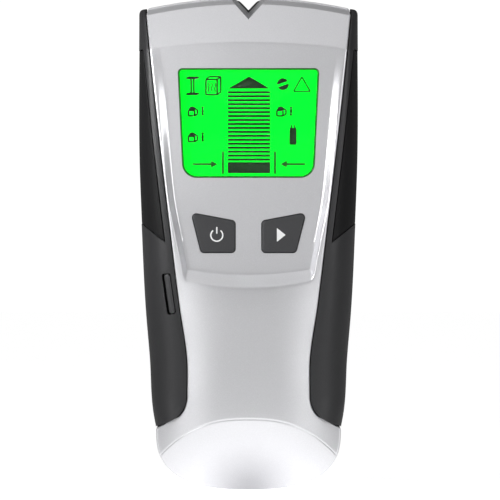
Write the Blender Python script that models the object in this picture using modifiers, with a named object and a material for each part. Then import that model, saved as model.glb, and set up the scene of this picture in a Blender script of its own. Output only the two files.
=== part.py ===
"""Hand-held stud finder, built from its separate pieces.

The pieces are modelled with the tool lying on its back: X across, Y along the tool from its lower end to its marking
notch, Z up from the wall plane (the depth). The empty tool_frame then stands the tool up, so that +Z runs up the tool,
the face looks along -Y, and the origin lies on the upper glide pad, where the tool touches the wall.
All lengths are metres.
"""

import math

import bmesh
import bpy
import numpy as np
from mathutils import Matrix, Vector

MM = 0.001

# Overall sizes
LENGTH = 164.2 * MM
HALF_WIDTH = 36.5 * MM
CLEARANCE = 0.3 * MM
WALL = 1.9 * MM
ORIGIN_HEIGHT = 150.0 * MM

# Depths, measured from the wall plane
BACK_PLANE = 0.6 * MM
REAR_INSIDE = 2.6 * MM
PARTING = 7.0 * MM
GRIP_RIM = 14.0 * MM
CHIN_RIM = 12.0 * MM
GRIP_STEP = 0.2 * MM
GRIP_WALL = 1.8 * MM
INLAY_SINK = 1.0 * MM
INLAY_THICKNESS = 0.6 * MM
INLAY_RIM = 9.0 * MM
INLAY_MARGIN = 2.1 * MM
INLAY_FOOT = 82.3 * MM
INLAY_TOP = 146.6 * MM
CREST_DEPTH = 28.0 * MM
TOP_SLOPE = 0.47
BAND_SLOPE = 1.8

# Lines across the face, as heights along the tool
CREST = 148.9 * MM
BAND = 161.7 * MM
CREASE = 24.0 * MM
PANEL_FOOT = 71.7 * MM
PANEL_BEVEL = 3.9 * MM
SHOULDER = 31.0 * MM
CHIN_HEIGHT = 20.5 * MM
CHIN_HALF_WIDTH = 30.8 * MM
TOP_RADIUS = 154.0 * MM
TOP_CORNER_HEIGHT = 158.9 * MM

# Stations of the smooth curves: (height, value) in millimetres
SILVER_HALF_WIDTH = ((31, 20.3), (43, 20.3), (62, 22.9), (83.4, 25.5), (110, 28.7), (136, 31.6), (158.9, 34.0))
OUTER_HALF_WIDTH = ((20.5, 30.8), (25.3, 31.7), (44.5, 33.0), (60, 34.3), (88.5, 35.7), (106.7, 36.4), (158.5, 36.5))
PANEL_HALF_WIDTH = ((60, 20.2), (72.6, 21.9), (84, 24.1), (95.5, 26.4), (113.4, 28.3), (136, 30.4), (149, 32.2))
BODY_DEPTH = ((0, 23.0), (24, 26.2), (45, 28.6), (60, 29.6), (71, 29.8), (110, 28.9), (149, 28.0))
SIDE_DROP = ((0, 3.0), (31, 3.2), (60, 2.9), (85, 1.3), (110, 0.8), (149, 0.6))
GRID_HALF_WIDTH = ((-5, 33.5), (30, 33.5), (33.5, 26.5), (37.5, 25.0), (43, 24.2), (60, 25.0), (72.6, 25.4))

# Face panel and its parts; depths below the panel's surface
PANEL_CENTRE = 110.3 * MM
PANEL_TILT = math.atan2(2.2, 77.2)
PANEL_FOOT_DEPTH = 25.8 * MM
WINDOW_TOP = 140.0 * MM
WINDOW_BOTTOM = 104.3 * MM
WINDOW_HALF_TOP = 23.2 * MM
WINDOW_HALF_BOTTOM = 21.5 * MM
BOARD_FRONT = 9.6 * MM
BOARD_THICKNESS = 1.6 * MM

# Battery bay
BATTERY_SIZE = (26.5 * MM, 46.4 * MM, 17.5 * MM)
BATTERY_FOOT = 24.8 * MM
BATTERY_BACK = 3.8 * MM
DOOR_FOOT = 22.0 * MM
DOOR_TOP = 78.0 * MM
DOOR_HALF_WIDTH = 17.0 * MM

# Side key
SCAN_KEY_CENTRE = (-26.1 * MM, 65.6 * MM)

CASE_SCREWS = ((-27.0 * MM, 150.0 * MM), (27.0 * MM, 150.0 * MM), (-21.0 * MM, 14.0 * MM), (21.0 * MM, 14.0 * MM))
BOSS_RADIUS = 3.0 * MM
BOARD_SCREWS = ((-22.0 * MM, 146.5 * MM), (22.0 * MM, 146.5 * MM), (0.0, 96.6 * MM))


# ---------------------------------------------------------------- scene helpers


def clear_scene():
    """Removes every object, mesh, curve and material that is already there."""
    for obj in list(bpy.data.objects):
        bpy.data.objects.remove(obj, do_unlink=True)
    for block in (bpy.data.meshes, bpy.data.curves, bpy.data.materials, bpy.data.collections):
        for item in list(block):
            block.remove(item)


def make_collection(name, hidden=False):
    """Adds a collection to the scene; a hidden one holds the cutters."""
    collection = bpy.data.collections.new(name)
    collection.hide_render = hidden
    bpy.context.scene.collection.children.link(collection)
    return collection


def make_empty(name, location, rotation=(0.0, 0.0, 0.0), parent=None):
    """Adds an empty that carries other pieces."""
    empty = bpy.data.objects.new(name, None)
    empty.empty_display_size = 10 * MM
    empty.location = location
    empty.rotation_euler = rotation
    empty.parent = parent
    PARTS.objects.link(empty)
    return empty


def plastic(name, colour, roughness, metallic=0.0, transmission=0.0):
    """A Principled material with one colour."""
    material = bpy.data.materials.new(name)
    material.use_nodes = True
    shader = material.node_tree.nodes["Principled BSDF"]
    shader.inputs["Base Color"].default_value = (*colour, 1.0)
    shader.inputs["Roughness"].default_value = roughness
    shader.inputs["Metallic"].default_value = metallic
    shader.inputs["Transmission Weight"].default_value = transmission
    material.diffuse_color = (*colour, 1.0)
    return material


def mesh_object(name, mesh, parent=None, location=(0.0, 0.0, 0.0), cutter=False):
    """Adds an object to the parts, or to the cutters as a wire frame that isn't rendered."""
    obj = bpy.data.objects.new(name, mesh)
    obj.location = location
    obj.parent = parent
    (CUTTERS if cutter else PARTS).objects.link(obj)
    if cutter:
        obj.display_type = "WIRE"
        obj.hide_render = True
    return obj


def finish(obj, material, smooth_angle=40.0):
    """Gives a piece its material and smooth shading up to an angle."""
    obj.data.materials.clear()
    obj.data.materials.append(material)
    obj.data.shade_smooth()
    obj.data.set_sharp_from_angle(angle=math.radians(smooth_angle))
    return obj


def boolean(obj, other, operation):
    """Adds an exact Boolean modifier."""
    modifier = obj.modifiers.new(other.name, "BOOLEAN")
    modifier.operation = operation
    modifier.solver = "EXACT"
    modifier.object = other
    return obj


def bevel(obj, width, segments=2, angle=30.0):
    """Rounds the edges that are sharper than an angle."""
    modifier = obj.modifiers.new("edges", "BEVEL")
    modifier.width = width
    modifier.segments = segments
    modifier.limit_method = "ANGLE"
    modifier.angle_limit = math.radians(angle)
    modifier.use_clamp_overlap = True
    return obj


# ---------------------------------------------------------------- basic solids


def box(name, low, high, parent=None, cutter=False):
    """A box between two corners, with its origin at its middle."""
    low = Vector(low)
    high = Vector(high)
    shape = bmesh.new()
    size = high - low
    bmesh.ops.create_cube(shape, size=1.0, matrix=Matrix.Diagonal((*size, 1.0)))
    mesh = bpy.data.meshes.new(name)
    shape.to_mesh(mesh)
    shape.free()
    return mesh_object(name, mesh, parent, (low + high) / 2, cutter)


def rod(name, centre, radius, low, high, sides=16, parent=None, cutter=False):
    """An upright cylinder from depth low to depth high over the point centre (x, y)."""
    shape = bmesh.new()
    bmesh.ops.create_cone(
        shape,
        cap_ends=True,
        segments=sides,
        radius1=radius,
        radius2=radius,
        depth=high - low,
    )
    mesh = bpy.data.meshes.new(name)
    shape.to_mesh(mesh)
    shape.free()
    return mesh_object(name, mesh, parent, (centre[0], centre[1], (low + high) / 2), cutter)


def closed_curve_mesh(name, curve):
    """Turns a filled curve into a welded mesh."""
    holder = bpy.data.objects.new(name, curve)
    PARTS.objects.link(holder)
    graph = bpy.context.evaluated_depsgraph_get()
    mesh = bpy.data.meshes.new_from_object(holder.evaluated_get(graph))
    bpy.data.objects.remove(holder, do_unlink=True)
    shape = bmesh.new()
    shape.from_mesh(mesh)
    bmesh.ops.remove_doubles(shape, verts=shape.verts, dist=0.001 * MM)
    bmesh.ops.recalc_face_normals(shape, faces=shape.faces)
    shape.to_mesh(mesh)
    shape.free()
    return mesh


def plate(name, outlines, low, high, parent=None, cutter=False):
    """A flat piece from depth low to depth high; the first outline is its edge and any others are holes."""
    curve = bpy.data.curves.new(name, "CURVE")
    curve.dimensions = "2D"
    curve.fill_mode = "BOTH"
    curve.extrude = (high - low) / 2
    for outline in outlines:
        spline = curve.splines.new("POLY")
        spline.points.add(len(outline) - 1)
        spline.points.foreach_set("co", [c for x, y in outline for c in (x, y, 0.0, 1.0)])
        spline.use_cyclic_u = True
    mesh = closed_curve_mesh(name, curve)
    return mesh_object(name, mesh, parent, (0.0, 0.0, (low + high) / 2), cutter)


def tube(name, points, radius, parent=None, cyclic=False):
    """A round wire through the points, with closed ends."""
    curve = bpy.data.curves.new(name, "CURVE")
    curve.dimensions = "3D"
    curve.bevel_depth = radius
    curve.bevel_resolution = 2
    curve.use_fill_caps = not cyclic
    spline = curve.splines.new("POLY")
    spline.points.add(len(points) - 1)
    spline.points.foreach_set("co", [c for point in points for c in (*point, 1.0)])
    spline.use_cyclic_u = cyclic
    obj = bpy.data.objects.new(name, curve)
    obj.parent = parent
    PARTS.objects.link(obj)
    return obj


def merged(name, pieces, parent=None, cutter=True):
    """One object from several separate solids, each taken with its own location."""
    shape = bmesh.new()
    for piece in pieces:
        mesh = piece.data.copy()
        mesh.transform(piece.matrix_basis)
        shape.from_mesh(mesh)
        bpy.data.meshes.remove(mesh)
        bpy.data.objects.remove(piece, do_unlink=True)
    mesh = bpy.data.meshes.new(name)
    shape.to_mesh(mesh)
    shape.free()
    return mesh_object(name, mesh, parent, cutter=cutter)


# ---------------------------------------------------------------- curves and outlines


def along(stations, position):
    """A smooth curve through stations given in millimetres, read at a position in metres (cubic Hermite)."""
    at = np.array([s[0] for s in stations]) * MM
    value = np.array([s[1] for s in stations]) * MM
    slope = np.gradient(value, at)
    position = np.clip(np.asarray(position, dtype=float), at[0], at[-1])
    k = np.clip(np.searchsorted(at, position) - 1, 0, len(at) - 2)
    span = at[k + 1] - at[k]
    t = (position - at[k]) / span
    rise = value[k + 1] - value[k]
    smooth = value[k] + rise * t * t * (3 - 2 * t)
    return smooth + span * (slope[k] * t * (1 - t) ** 2 - slope[k + 1] * t * t * (1 - t))


def chin_line(x):
    """Height of the lower edge: a superellipse quarter, rising from the middle to the corners."""
    side = np.clip(np.abs(x) / CHIN_HALF_WIDTH, 0, 1)
    return CHIN_HEIGHT * (1 - (1 - side**2.6) ** (1 / 2.8))


def crease_line(x):
    """Height of the crease above the chin: flat in the middle and falling towards the corners."""
    return CREASE - 12.4 * MM * (np.abs(x) / (29.4 * MM)) ** 2.6


def crest_line(x):
    """Height of the ridge above the display, a shallow arc."""
    return CREST - 2.3 * MM * (x / (32.3 * MM)) ** 2


def band_line(x):
    """Height of the lower edge of the narrow band along the top, a shallow arc."""
    return BAND - x**2 / (2 * TOP_RADIUS)


def chin_points(count=14):
    """The lower edge from the middle to the right corner."""
    turn = np.linspace(0, math.pi / 2, count)
    x = CHIN_HALF_WIDTH * np.sin(turn) ** (2 / 2.6)
    y = CHIN_HEIGHT * (1 - np.cos(turn) ** (2 / 2.8))
    return list(zip(x, y))


def top_points(half_width, count=9):
    """The top edge from the right to the middle, an arc of TOP_RADIUS."""
    x = np.linspace(half_width, 0, count)
    return list(zip(x, LENGTH - x**2 / (2 * TOP_RADIUS)))


def shoulder_points(count=6):
    """The curve where the silver cover widens below the grips, from the corner inwards and up."""
    t = np.linspace(0, 1, count)
    x = (1 - t) ** 2 * 30.5 + 2 * t * (1 - t) * 20.9 + t**2 * 20.3
    y = (1 - t) ** 2 * 21.2 + 2 * t * (1 - t) * 23.6 + t**2 * 31.0
    return list(zip(x * MM, y * MM))


def mirrored(half):
    """A whole outline from its right half, which runs from the middle of the foot to the middle of the top."""
    left = [(-x, y) for x, y in reversed(half) if x > 0.01 * MM]
    return half + left


def silver_outline():
    """The front cover's outline."""
    heights = np.linspace(33, 158.2, 20) * MM
    flank = list(zip(along(SILVER_HALF_WIDTH, heights), heights))
    corner = [(34.0 * MM, TOP_CORNER_HEIGHT), (33.8 * MM, 160.0 * MM)]
    return mirrored(chin_points() + shoulder_points() + flank + corner + top_points(33.2 * MM))


def outer_outline():
    """The outline of the whole tool, taken round the grips."""
    heights = np.linspace(22.5, 158.0, 20) * MM
    flank = list(zip(along(OUTER_HALF_WIDTH, heights), heights))
    corner = [(36.3 * MM, 159.4 * MM), (35.6 * MM, 160.2 * MM)]
    return mirrored(chin_points() + flank + corner + top_points(34.4 * MM))


def inset(outline, distance, trim=False):
    """The outline moved inwards by a distance along its corner normals; a negative distance moves it outwards.

    With trim, the points that end up nearer to the first outline than the distance are left out, which removes the
    loops that a sharp tip would leave.
    """
    points = np.array(outline)
    before = points - np.roll(points, 1, axis=0)
    after = np.roll(points, -1, axis=0) - points
    ahead = after / np.linalg.norm(after, axis=1)[:, None]
    mean = before / np.linalg.norm(before, axis=1)[:, None] + ahead
    normal = np.stack((-mean[:, 1], mean[:, 0]), axis=1)
    normal /= np.linalg.norm(normal, axis=1)[:, None]
    mitre = np.clip(np.sum(normal * np.stack((-ahead[:, 1], ahead[:, 0]), axis=1), axis=1), 0.5, 1)
    moved = points + normal * (distance / mitre)[:, None]
    if trim:
        reach = moved[:, None, :] - points[None, :, :]
        share = np.clip(np.sum(reach * after, axis=2) / np.sum(after * after, axis=1), 0, 1)
        gap = np.linalg.norm(reach - share[:, :, None] * after, axis=2).min(axis=1)
        moved = moved[gap > 0.97 * abs(distance)]
    return [tuple(p) for p in moved]


def with_notch(outline, half_width, foot):
    """The outline with a V let into the middle of its top edge, to keep clear of the marking notch."""
    right = outline[: len(outline) // 2 + 1]
    kept = [(x, y) for x, y in right if y < LENGTH / 2 or x > half_width]
    return mirrored([*kept, (0.0, foot)])


def rounded_rectangle(half_x, low, high, radius, steps=4):
    """A rectangle across the tool from height low to height high, with round corners."""
    outline = []
    corners = ((1, high, 0.0), (-1, high, 90.0), (-1, low, 180.0), (1, low, 270.0))
    for side, y, start in corners:
        centre_x = side * (half_x - radius)
        centre_y = y - math.copysign(radius, y - (low + high) / 2)
        for k in range(steps + 1):
            angle = math.radians(start + 90.0 * k / steps)
            outline.append((centre_x + radius * math.cos(angle), centre_y + radius * math.sin(angle)))
    return outline


def rounded_polygon(corners, radii, steps=4):
    """A convex polygon, listed anticlockwise, with an arc of its own radius at each corner."""
    outline = []
    count = len(corners)
    for k, radius in enumerate(radii):
        corner = Vector(corners[k])
        back = (Vector(corners[k - 1]) - corner).normalized()
        ahead = (Vector(corners[(k + 1) % count]) - corner).normalized()
        half = back.angle(ahead) / 2
        centre = corner + (back + ahead).normalized() * (radius / math.sin(half))
        first = corner + back * (radius / math.tan(half)) - centre
        turn = math.pi - 2 * half
        for step in range(steps + 1):
            outline.append(tuple(centre + Matrix.Rotation(turn * step / steps, 2) @ first))
    return outline


# ---------------------------------------------------------------- the sculpted face


def body_depth(x, y):
    """Depth of the body round the panel: the ridge line's depth less a drop towards the sides."""
    side = np.abs(x) / along(SILVER_HALF_WIDTH, y)
    return along(BODY_DEPTH, y) - along(SIDE_DROP, y) * side**2.4


def panel_depth(x, y):
    """Depth of the sunk face panel: a plane, very slightly crowned."""
    return PANEL_FOOT_DEPTH + math.tan(PANEL_TILT) * (y - PANEL_FOOT) - 0.6 * MM * (x / (32 * MM)) ** 2


def face_depth(x, y):
    """Depth of the front cover's surface at a point of the face.

    Below the crest the panel lies in the body, with a bevel between them; above it the face slopes back to the band,
    and the band slopes back more. Below the crease the chin rolls over towards its rim, most in the middle.
    """
    edge = along(PANEL_HALF_WIDTH, y)
    across = (np.abs(x) - 0.92 * edge) / (0.08 * edge)
    foot = PANEL_FOOT + 1.5 * MM * (x / (18 * MM)) ** 2
    down = (foot - y) / PANEL_BEVEL
    outside = (np.clip(across, 0, 2) ** 3 + np.clip(down, 0, 2) ** 3) ** (1 / 3)
    outside = np.clip(outside, 0, 1)
    body = body_depth(x, y)
    depth = panel_depth(x, y) * (1 - outside) + body * outside

    crest = crest_line(x)
    band = band_line(x)
    slope = TOP_SLOPE * (np.minimum(y, band) - crest) + BAND_SLOPE * np.maximum(y - band, 0)
    top = CREST_DEPTH - 0.6 * MM * (x / (32 * MM)) ** 2 - slope
    depth = np.where(y > crest, top, depth)

    near = np.clip(x, -28.5 * MM, 28.5 * MM)
    crease = crease_line(near)
    roll = np.clip((crease - y) / (crease - chin_line(near)), 0, 1)
    middle = 1 - np.clip(np.abs(x) / CHIN_HALF_WIDTH, 0, 1) ** 2
    chin = body - (body - CHIN_RIM) * (0.6 * roll + 0.4 * roll**3) * middle**0.8
    return np.where(y < crease, chin, depth)


def grip_depth(x, y, thinner=0.0):
    """Depth of the side grips: a quarter ellipse from the silver edge to the rim, with both half-axes made thinner."""
    inner = along(SILVER_HALF_WIDTH, y)
    outer = along(OUTER_HALF_WIDTH, y) - thinner
    start = face_depth(inner, np.maximum(y, SHOULDER)) - GRIP_STEP - thinner
    s = np.clip((np.abs(x) - inner) / (outer - inner), 0, 1)
    return GRIP_RIM + (start - GRIP_RIM) * np.sqrt(1 - s**2.2)


def face_rows():
    """The grid's rows as functions of x, so that the rows lie along the crease, the panel's foot, crest and band."""
    rows = []

    def near(x):
        return np.clip(x, -28.5 * MM, 28.5 * MM)

    for roll in (1.25, 1.0, 0.85, 0.7, 0.5, 0.3, 0.12, 0.0):
        rows.append(lambda x, r=roll: crease_line(near(x)) * (1 - r) + chin_line(near(x)) * r)
    for step in (0.12, 0.3, 0.5, 0.7, 0.85):
        rows.append(lambda x, s=step: crease_line(near(x)) * (1 - s) + (43 * MM) * s)
    for height in (43.0, 48.0, 54.0, 60.0, 65.0):
        rows.append(lambda x, h=height: h * MM + 1.5 * MM * (x / (18 * MM)) ** 2 * (h - 43) / 24.8)
    for sink in (1.0, 0.66, 0.33, 0.0):
        rows.append(lambda x, s=sink: PANEL_FOOT - s * PANEL_BEVEL + 1.5 * MM * (x / (18 * MM)) ** 2)
    for step in np.linspace(0.06, 1.0, 12):
        rows.append(
            lambda x, s=step: (PANEL_FOOT + 1.5 * MM * (x / (18 * MM)) ** 2) * (1 - s) + crest_line(x) * s
        )
    for step in (0.3, 0.65, 1.0):
        rows.append(lambda x, s=step: crest_line(x) * (1 - s) + band_line(x) * s)
    for rise in (1.2, 2.4, 5.0):
        rows.append(lambda x, r=rise: band_line(x) + r * MM)
    return rows


def grid_half_width(y):
    """Half-width of the face grid; beside the panel it keeps the panel's edge on one column."""
    return np.where(y < 72.6 * MM, along(GRID_HALF_WIDTH, y), along(PANEL_HALF_WIDTH, y) / 0.88)


def sculpted_block(name, x, y, depth, floor, cutter=True):
    """A closed block whose top is the surface depth over the grid (x, y) and whose base is flat at floor."""
    rows, columns = x.shape
    top = np.stack((x, y, depth), axis=-1).reshape(-1, 3)
    index = np.arange(rows * columns).reshape(rows, columns)
    rim = np.concatenate((index[0, :-1], index[:-1, -1], index[-1, :0:-1], index[:0:-1, 0]))
    base = top[rim].copy()
    base[:, 2] = floor
    start = rows * columns
    count = len(rim)
    faces = np.stack((index[:-1, :-1], index[:-1, 1:], index[1:, 1:], index[1:, :-1]), axis=-1).reshape(-1, 4)
    below = start + np.arange(count)
    walls = np.stack((np.roll(rim, -1), rim, below, np.roll(below, -1)), axis=-1)
    polygons = [*faces.tolist(), *walls.tolist(), below[::-1].tolist()]
    mesh = bpy.data.meshes.new(name)
    mesh.from_pydata(np.vstack((top, base)).tolist(), [], polygons)
    mesh.validate()
    return mesh_object(name, mesh, TOOL, cutter=cutter)


def face_block(name, sink, floor, fractions, cutter=True):
    """A block under the face surface, sunk below it by a wall thickness."""
    rows = face_rows()
    nominal = np.array([row(0.0) for row in rows])
    x = np.outer(grid_half_width(nominal), fractions)
    y = np.stack([row(x[k]) for k, row in enumerate(rows)])
    return sculpted_block(name, x, y, face_depth(x, y) - sink, floor, cutter)


def grip_block(name, side, thinner, floor, low=18.0, high=163.0, beyond=False, cutter=True):
    """A block under one grip's surface between two heights in millimetres.

    Its outer wall is upright at the outline, or lies beyond the outline where another solid will trim it.
    """
    s = np.sin(np.radians((-12, 0, 14, 28, 42, 55, 66, 75, 82, 87, 90)))
    if beyond:
        s = np.append(s, 1.12)
    stations = (low, 22, 26, 31, 37, 44, 52, 60, 68, 76, 84, 92, 102, 114, 126, 138, 146.9, 152, 158, high)
    heights = np.array([h for h in stations if low <= h <= high]) * MM
    y = heights[:, None] * np.ones(len(s))
    inner = along(SILVER_HALF_WIDTH, y)
    outer = along(OUTER_HALF_WIDTH, y) - thinner
    x = inner + (outer - inner) * s
    depth = grip_depth(x, y, thinner)
    if side < 0:
        x = -x[:, ::-1]
        depth = depth[:, ::-1]
    return sculpted_block(name, x, y, depth, floor, cutter)


COLUMNS = np.array((0, 0.2, 0.4, 0.58, 0.72, 0.8096, 0.845, 0.88, 0.93, 1.0))
FINE_COLUMNS = np.concatenate((-COLUMNS[:0:-1], COLUMNS))
INNER_COLUMNS = np.array((0, 0.4, 0.7, 0.8096, 0.88, 1.0))
COARSE_COLUMNS = np.concatenate((-INNER_COLUMNS[:0:-1], INNER_COLUMNS))


# ---------------------------------------------------------------- covers


def notch_cutter():
    """The pencil notch: a V whose valley climbs towards the wall."""
    sections = []
    for depth, valley in ((32 * MM, 155.1 * MM), (-2 * MM, 161.5 * MM)):
        top = 172 * MM
        reach = (top - valley) * 0.95
        sections.append(((-reach, top, depth), (0.0, valley, depth), (reach, top, depth)))
    mesh = bpy.data.meshes.new("notch_cutter")
    faces = [(2, 1, 0), (3, 4, 5), (0, 1, 4, 3), (1, 2, 5, 4), (2, 0, 3, 5)]
    mesh.from_pydata([*sections[0], *sections[1]], [], faces)
    shape = bmesh.new()
    shape.from_mesh(mesh)
    bmesh.ops.recalc_face_normals(shape, faces=shape.faces)
    shape.to_mesh(mesh)
    shape.free()
    return mesh_object("notch_cutter", mesh, TOOL, cutter=True)


def button_corners(side):
    """The corners of a front button, clockwise for the left one and mirrored for the right one."""
    corners = [(18.9, 92.3), (4.5, 89.6), (4.5, 79.3), (15.6, 79.3)]
    if side < 0:
        return [(-x * MM, y * MM) for x, y in reversed(corners)]
    return [(x * MM, y * MM) for x, y in corners]


def button_outline(side, grow):
    """A front button's outline, grown by a margin, in the panel's own frame."""
    corners = [(x, y - PANEL_CENTRE) for x, y in button_corners(side)]
    outline = rounded_polygon(corners, [1.2 * MM] * 4)
    return inset(outline, -grow)


def window_outline(grow):
    """The display opening's outline in the panel's own frame: slightly tapered, rounder at its lower corners."""
    top = WINDOW_TOP - PANEL_CENTRE
    bottom = WINDOW_BOTTOM - PANEL_CENTRE
    corners = (
        (WINDOW_HALF_TOP, top),
        (-WINDOW_HALF_TOP, top),
        (-WINDOW_HALF_BOTTOM, bottom),
        (WINDOW_HALF_BOTTOM, bottom),
    )
    outline = rounded_polygon(corners, [1.3 * MM, 1.3 * MM, 4.5 * MM, 4.5 * MM], steps=6)
    return inset(outline, -grow)


def boss_top(centre):
    """How deep a screw boss may reach into the cover's wall: just under the lowest point of the face over it."""
    rim = np.array(circle(centre, BOSS_RADIUS))
    return float(face_depth(rim[:, 0], rim[:, 1]).min()) - 0.9 * MM


def front_cover(notch, silver):
    """The silver cover: an open tray under the sculpted face, with its openings and screw bosses."""
    outline = silver_outline()
    cover = face_block("front_cover", 0.0, 3 * MM, FINE_COLUMNS, cutter=False)
    boolean(cover, plate("silver_prism", [outline], PARTING + CLEARANCE, 40 * MM, TOOL, True), "INTERSECT")
    cavity = face_block("front_cavity", WALL, -3 * MM, COARSE_COLUMNS)
    hollow = with_notch(inset(outline, WALL, trim=True), 9 * MM, 152.0 * MM)
    boolean(cavity, plate("front_hollow", [hollow], -2 * MM, 40 * MM, TOOL, True), "INTERSECT")
    boolean(cover, cavity, "DIFFERENCE")

    openings = [plate("window_opening", [window_outline(CLEARANCE)], -3 * MM, 3 * MM)]
    for side in (-1, 1):
        openings.append(plate("button_opening", [button_outline(side, CLEARANCE)], -3 * MM, 4 * MM))
    boolean(cover, merged("panel_openings", openings, PANEL), "DIFFERENCE")

    bosses = []
    holes = []
    for centre in CASE_SCREWS:
        bosses.append(rod("case_boss", centre, BOSS_RADIUS, 9.0 * MM, boss_top(centre), 14))
        holes.append(rod("case_hole", centre, 1.3 * MM, 8.0 * MM, 15.5 * MM, 10))
    boolean(cover, merged("case_bosses", bosses, TOOL), "UNION")
    boolean(cover, merged("case_holes", holes, TOOL), "DIFFERENCE")

    bosses = []
    holes = []
    for x, y in BOARD_SCREWS:
        centre = (x, y - PANEL_CENTRE)
        bosses.append(rod("board_boss", centre, 2.4 * MM, CLEARANCE - BOARD_FRONT, -1.2 * MM, 12))
        holes.append(rod("board_hole", centre, 1.1 * MM, -BOARD_FRONT - 1 * MM, -4.0 * MM, 10))
    boolean(cover, merged("board_bosses", bosses, PANEL), "UNION")
    boolean(cover, merged("board_holes", holes, PANEL), "DIFFERENCE")
    boolean(cover, notch, "DIFFERENCE")
    return finish(cover, silver, 25)


def rear_cover(notch, dark):
    """The rear dish: a plate with a rolled edge and a low rim, its door opening, glide recesses and screw wells."""
    outline = inset(outer_outline(), 0.25 * MM)
    layers = ((BACK_PLANE, 2.0), (BACK_PLANE + 0.5 * MM, 0.9), (BACK_PLANE + 1.6 * MM, 0.2), (PARTING, 0.0))
    rings = []
    for depth, margin in layers:
        rings.append([(x, y, depth) for x, y in inset(outline, margin * MM)])
    count = len(outline)
    mesh = bpy.data.meshes.new("rear_cover")
    faces = [list(range(count))[::-1], list(range(3 * count, 4 * count))]
    for k in range(3):
        for i in range(count):
            j = (i + 1) % count
            faces.append((k * count + i, k * count + j, (k + 1) * count + j, (k + 1) * count + i))
    mesh.from_pydata([point for ring in rings for point in ring], [], faces)
    cover = mesh_object("rear_cover", mesh, TOOL)

    hollow = with_notch(inset(outline, 2.1 * MM, trim=True), 9 * MM, 152.0 * MM)
    boolean(cover, plate("rear_hollow", [hollow], REAR_INSIDE, 12 * MM, TOOL, True), "DIFFERENCE")
    bosses = [rod("rear_boss", centre, 3.0 * MM, 2.0 * MM, 8.7 * MM, 14) for centre in CASE_SCREWS]
    boolean(cover, merged("rear_bosses", bosses, TOOL), "UNION")

    door = rounded_rectangle(DOOR_HALF_WIDTH + CLEARANCE, DOOR_FOOT - CLEARANCE, DOOR_TOP + CLEARANCE, 1.5 * MM)
    cuts = [plate("door_opening", [door], -1 * MM, 3 * MM)]
    for half, low, high in ((22.3, 145.7, 154.3), (14.3, 7.7, 16.3)):
        recess = rounded_rectangle(half * MM, low * MM, high * MM, 1.5 * MM)
        cuts.append(plate("glide_recess", [recess], -1 * MM, 1.2 * MM))
    for centre in CASE_SCREWS:
        cuts.append(rod("screw_well", centre, 2.5 * MM, -1 * MM, 4.3 * MM, 16))
    boolean(cover, merged("rear_cuts", cuts, TOOL), "DIFFERENCE")
    holes = [rod("screw_hole", centre, 1.35 * MM, 3.0 * MM, 12 * MM, 12) for centre in CASE_SCREWS]
    boolean(cover, merged("rear_holes", holes, TOOL), "DIFFERENCE")
    boolean(cover, notch, "DIFFERENCE")
    return finish(cover, dark, 30)


# ---------------------------------------------------------------- grips


def inlay_outline(side, grow):
    """The soft inlay's outline seen from the front: the outer part of the grip, cut off at a slant below."""
    heights = np.linspace(INLAY_FOOT, INLAY_TOP, 9)
    inner = [(along(SILVER_HALF_WIDTH, y) + INLAY_MARGIN, y) for y in heights]
    outside = HALF_WIDTH + 8 * MM
    slant = INLAY_FOOT + 0.8 * (outside - inner[0][0])
    outline = [(outside, INLAY_TOP), *reversed(inner), (outside, slant)]
    if side < 0:
        outline = [(-x, y) for x, y in reversed(outline)]
    return inset(outline, -grow)


def grip(name, side, dark):
    """One side grip: a thin moulding round the flank, recessed for its inlay, with the key slot on the left."""
    moulding = grip_block(name, side, 0.0, 3 * MM, beyond=True, cutter=False)
    outline = outer_outline()
    prism = plate(name + "_prism", [outline], PARTING + CLEARANCE, 40 * MM, TOOL, True)
    boolean(moulding, prism, "INTERSECT")
    boolean(moulding, grip_block(name + "_hollow", side, GRIP_WALL, -3 * MM, 17.0, 146.9), "DIFFERENCE")
    inner = plate(name + "_inner", [inset(silver_outline(), -CLEARANCE, trim=True)], -2 * MM, 42 * MM, TOOL, True)
    boolean(moulding, inner, "DIFFERENCE")
    recess = plate(name + "_recess", [inlay_outline(side, 0.0)], INLAY_RIM - CLEARANCE, 45 * MM, TOOL, True)
    boolean(recess, grip_block(name + "_recess_floor", side, INLAY_SINK, -4 * MM), "DIFFERENCE")
    boolean(moulding, recess, "DIFFERENCE")
    if side < 0:
        slot = [(x - 0.35 * MM, y) for x, y in rounded_rectangle(1.55 * MM, -6.9 * MM, 6.9 * MM, 0.8 * MM)]
        boolean(moulding, plate("scan_slot", [slot], -5 * MM, 4 * MM, SCAN, True), "DIFFERENCE")
    return finish(moulding, dark, 30)


def grip_inlay(name, side, rubber):
    """The soft inlay that fills the grip's recess, with 0.3 mm round it."""
    outer = INLAY_SINK - CLEARANCE - INLAY_THICKNESS
    inlay = grip_block(name, side, outer, 3 * MM, 78.0, 150.0, cutter=False)
    outline = plate(name + "_outline", [inlay_outline(side, -CLEARANCE)], INLAY_RIM, 45 * MM, TOOL, True)
    boolean(inlay, outline, "INTERSECT")
    boolean(inlay, grip_block(name + "_under", side, INLAY_SINK - CLEARANCE, -3 * MM, 76.0, 152.0), "DIFFERENCE")
    return finish(inlay, rubber, 30)


# ---------------------------------------------------------------- face parts


def front_button(name, side, black):
    """A push button: a crowned cap through the panel, a flange that keeps it in, and a stem over its switch."""
    button = plate(name, [button_outline(side, 0.0)], -2.5 * MM, 0.6 * MM, PANEL)
    bevel(button, 0.45 * MM, 2, 50)
    flange = plate(name + "_flange", [button_outline(side, 0.9 * MM)], -3.0 * MM, -2.3 * MM, PANEL, True)
    boolean(button, flange, "UNION")
    stem = rod(name + "_stem", button_switch(side), 1.8 * MM, -5.0 * MM, -2.6 * MM, 12, PANEL, True)
    boolean(button, stem, "UNION")
    return finish(button, black, 35)


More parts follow.
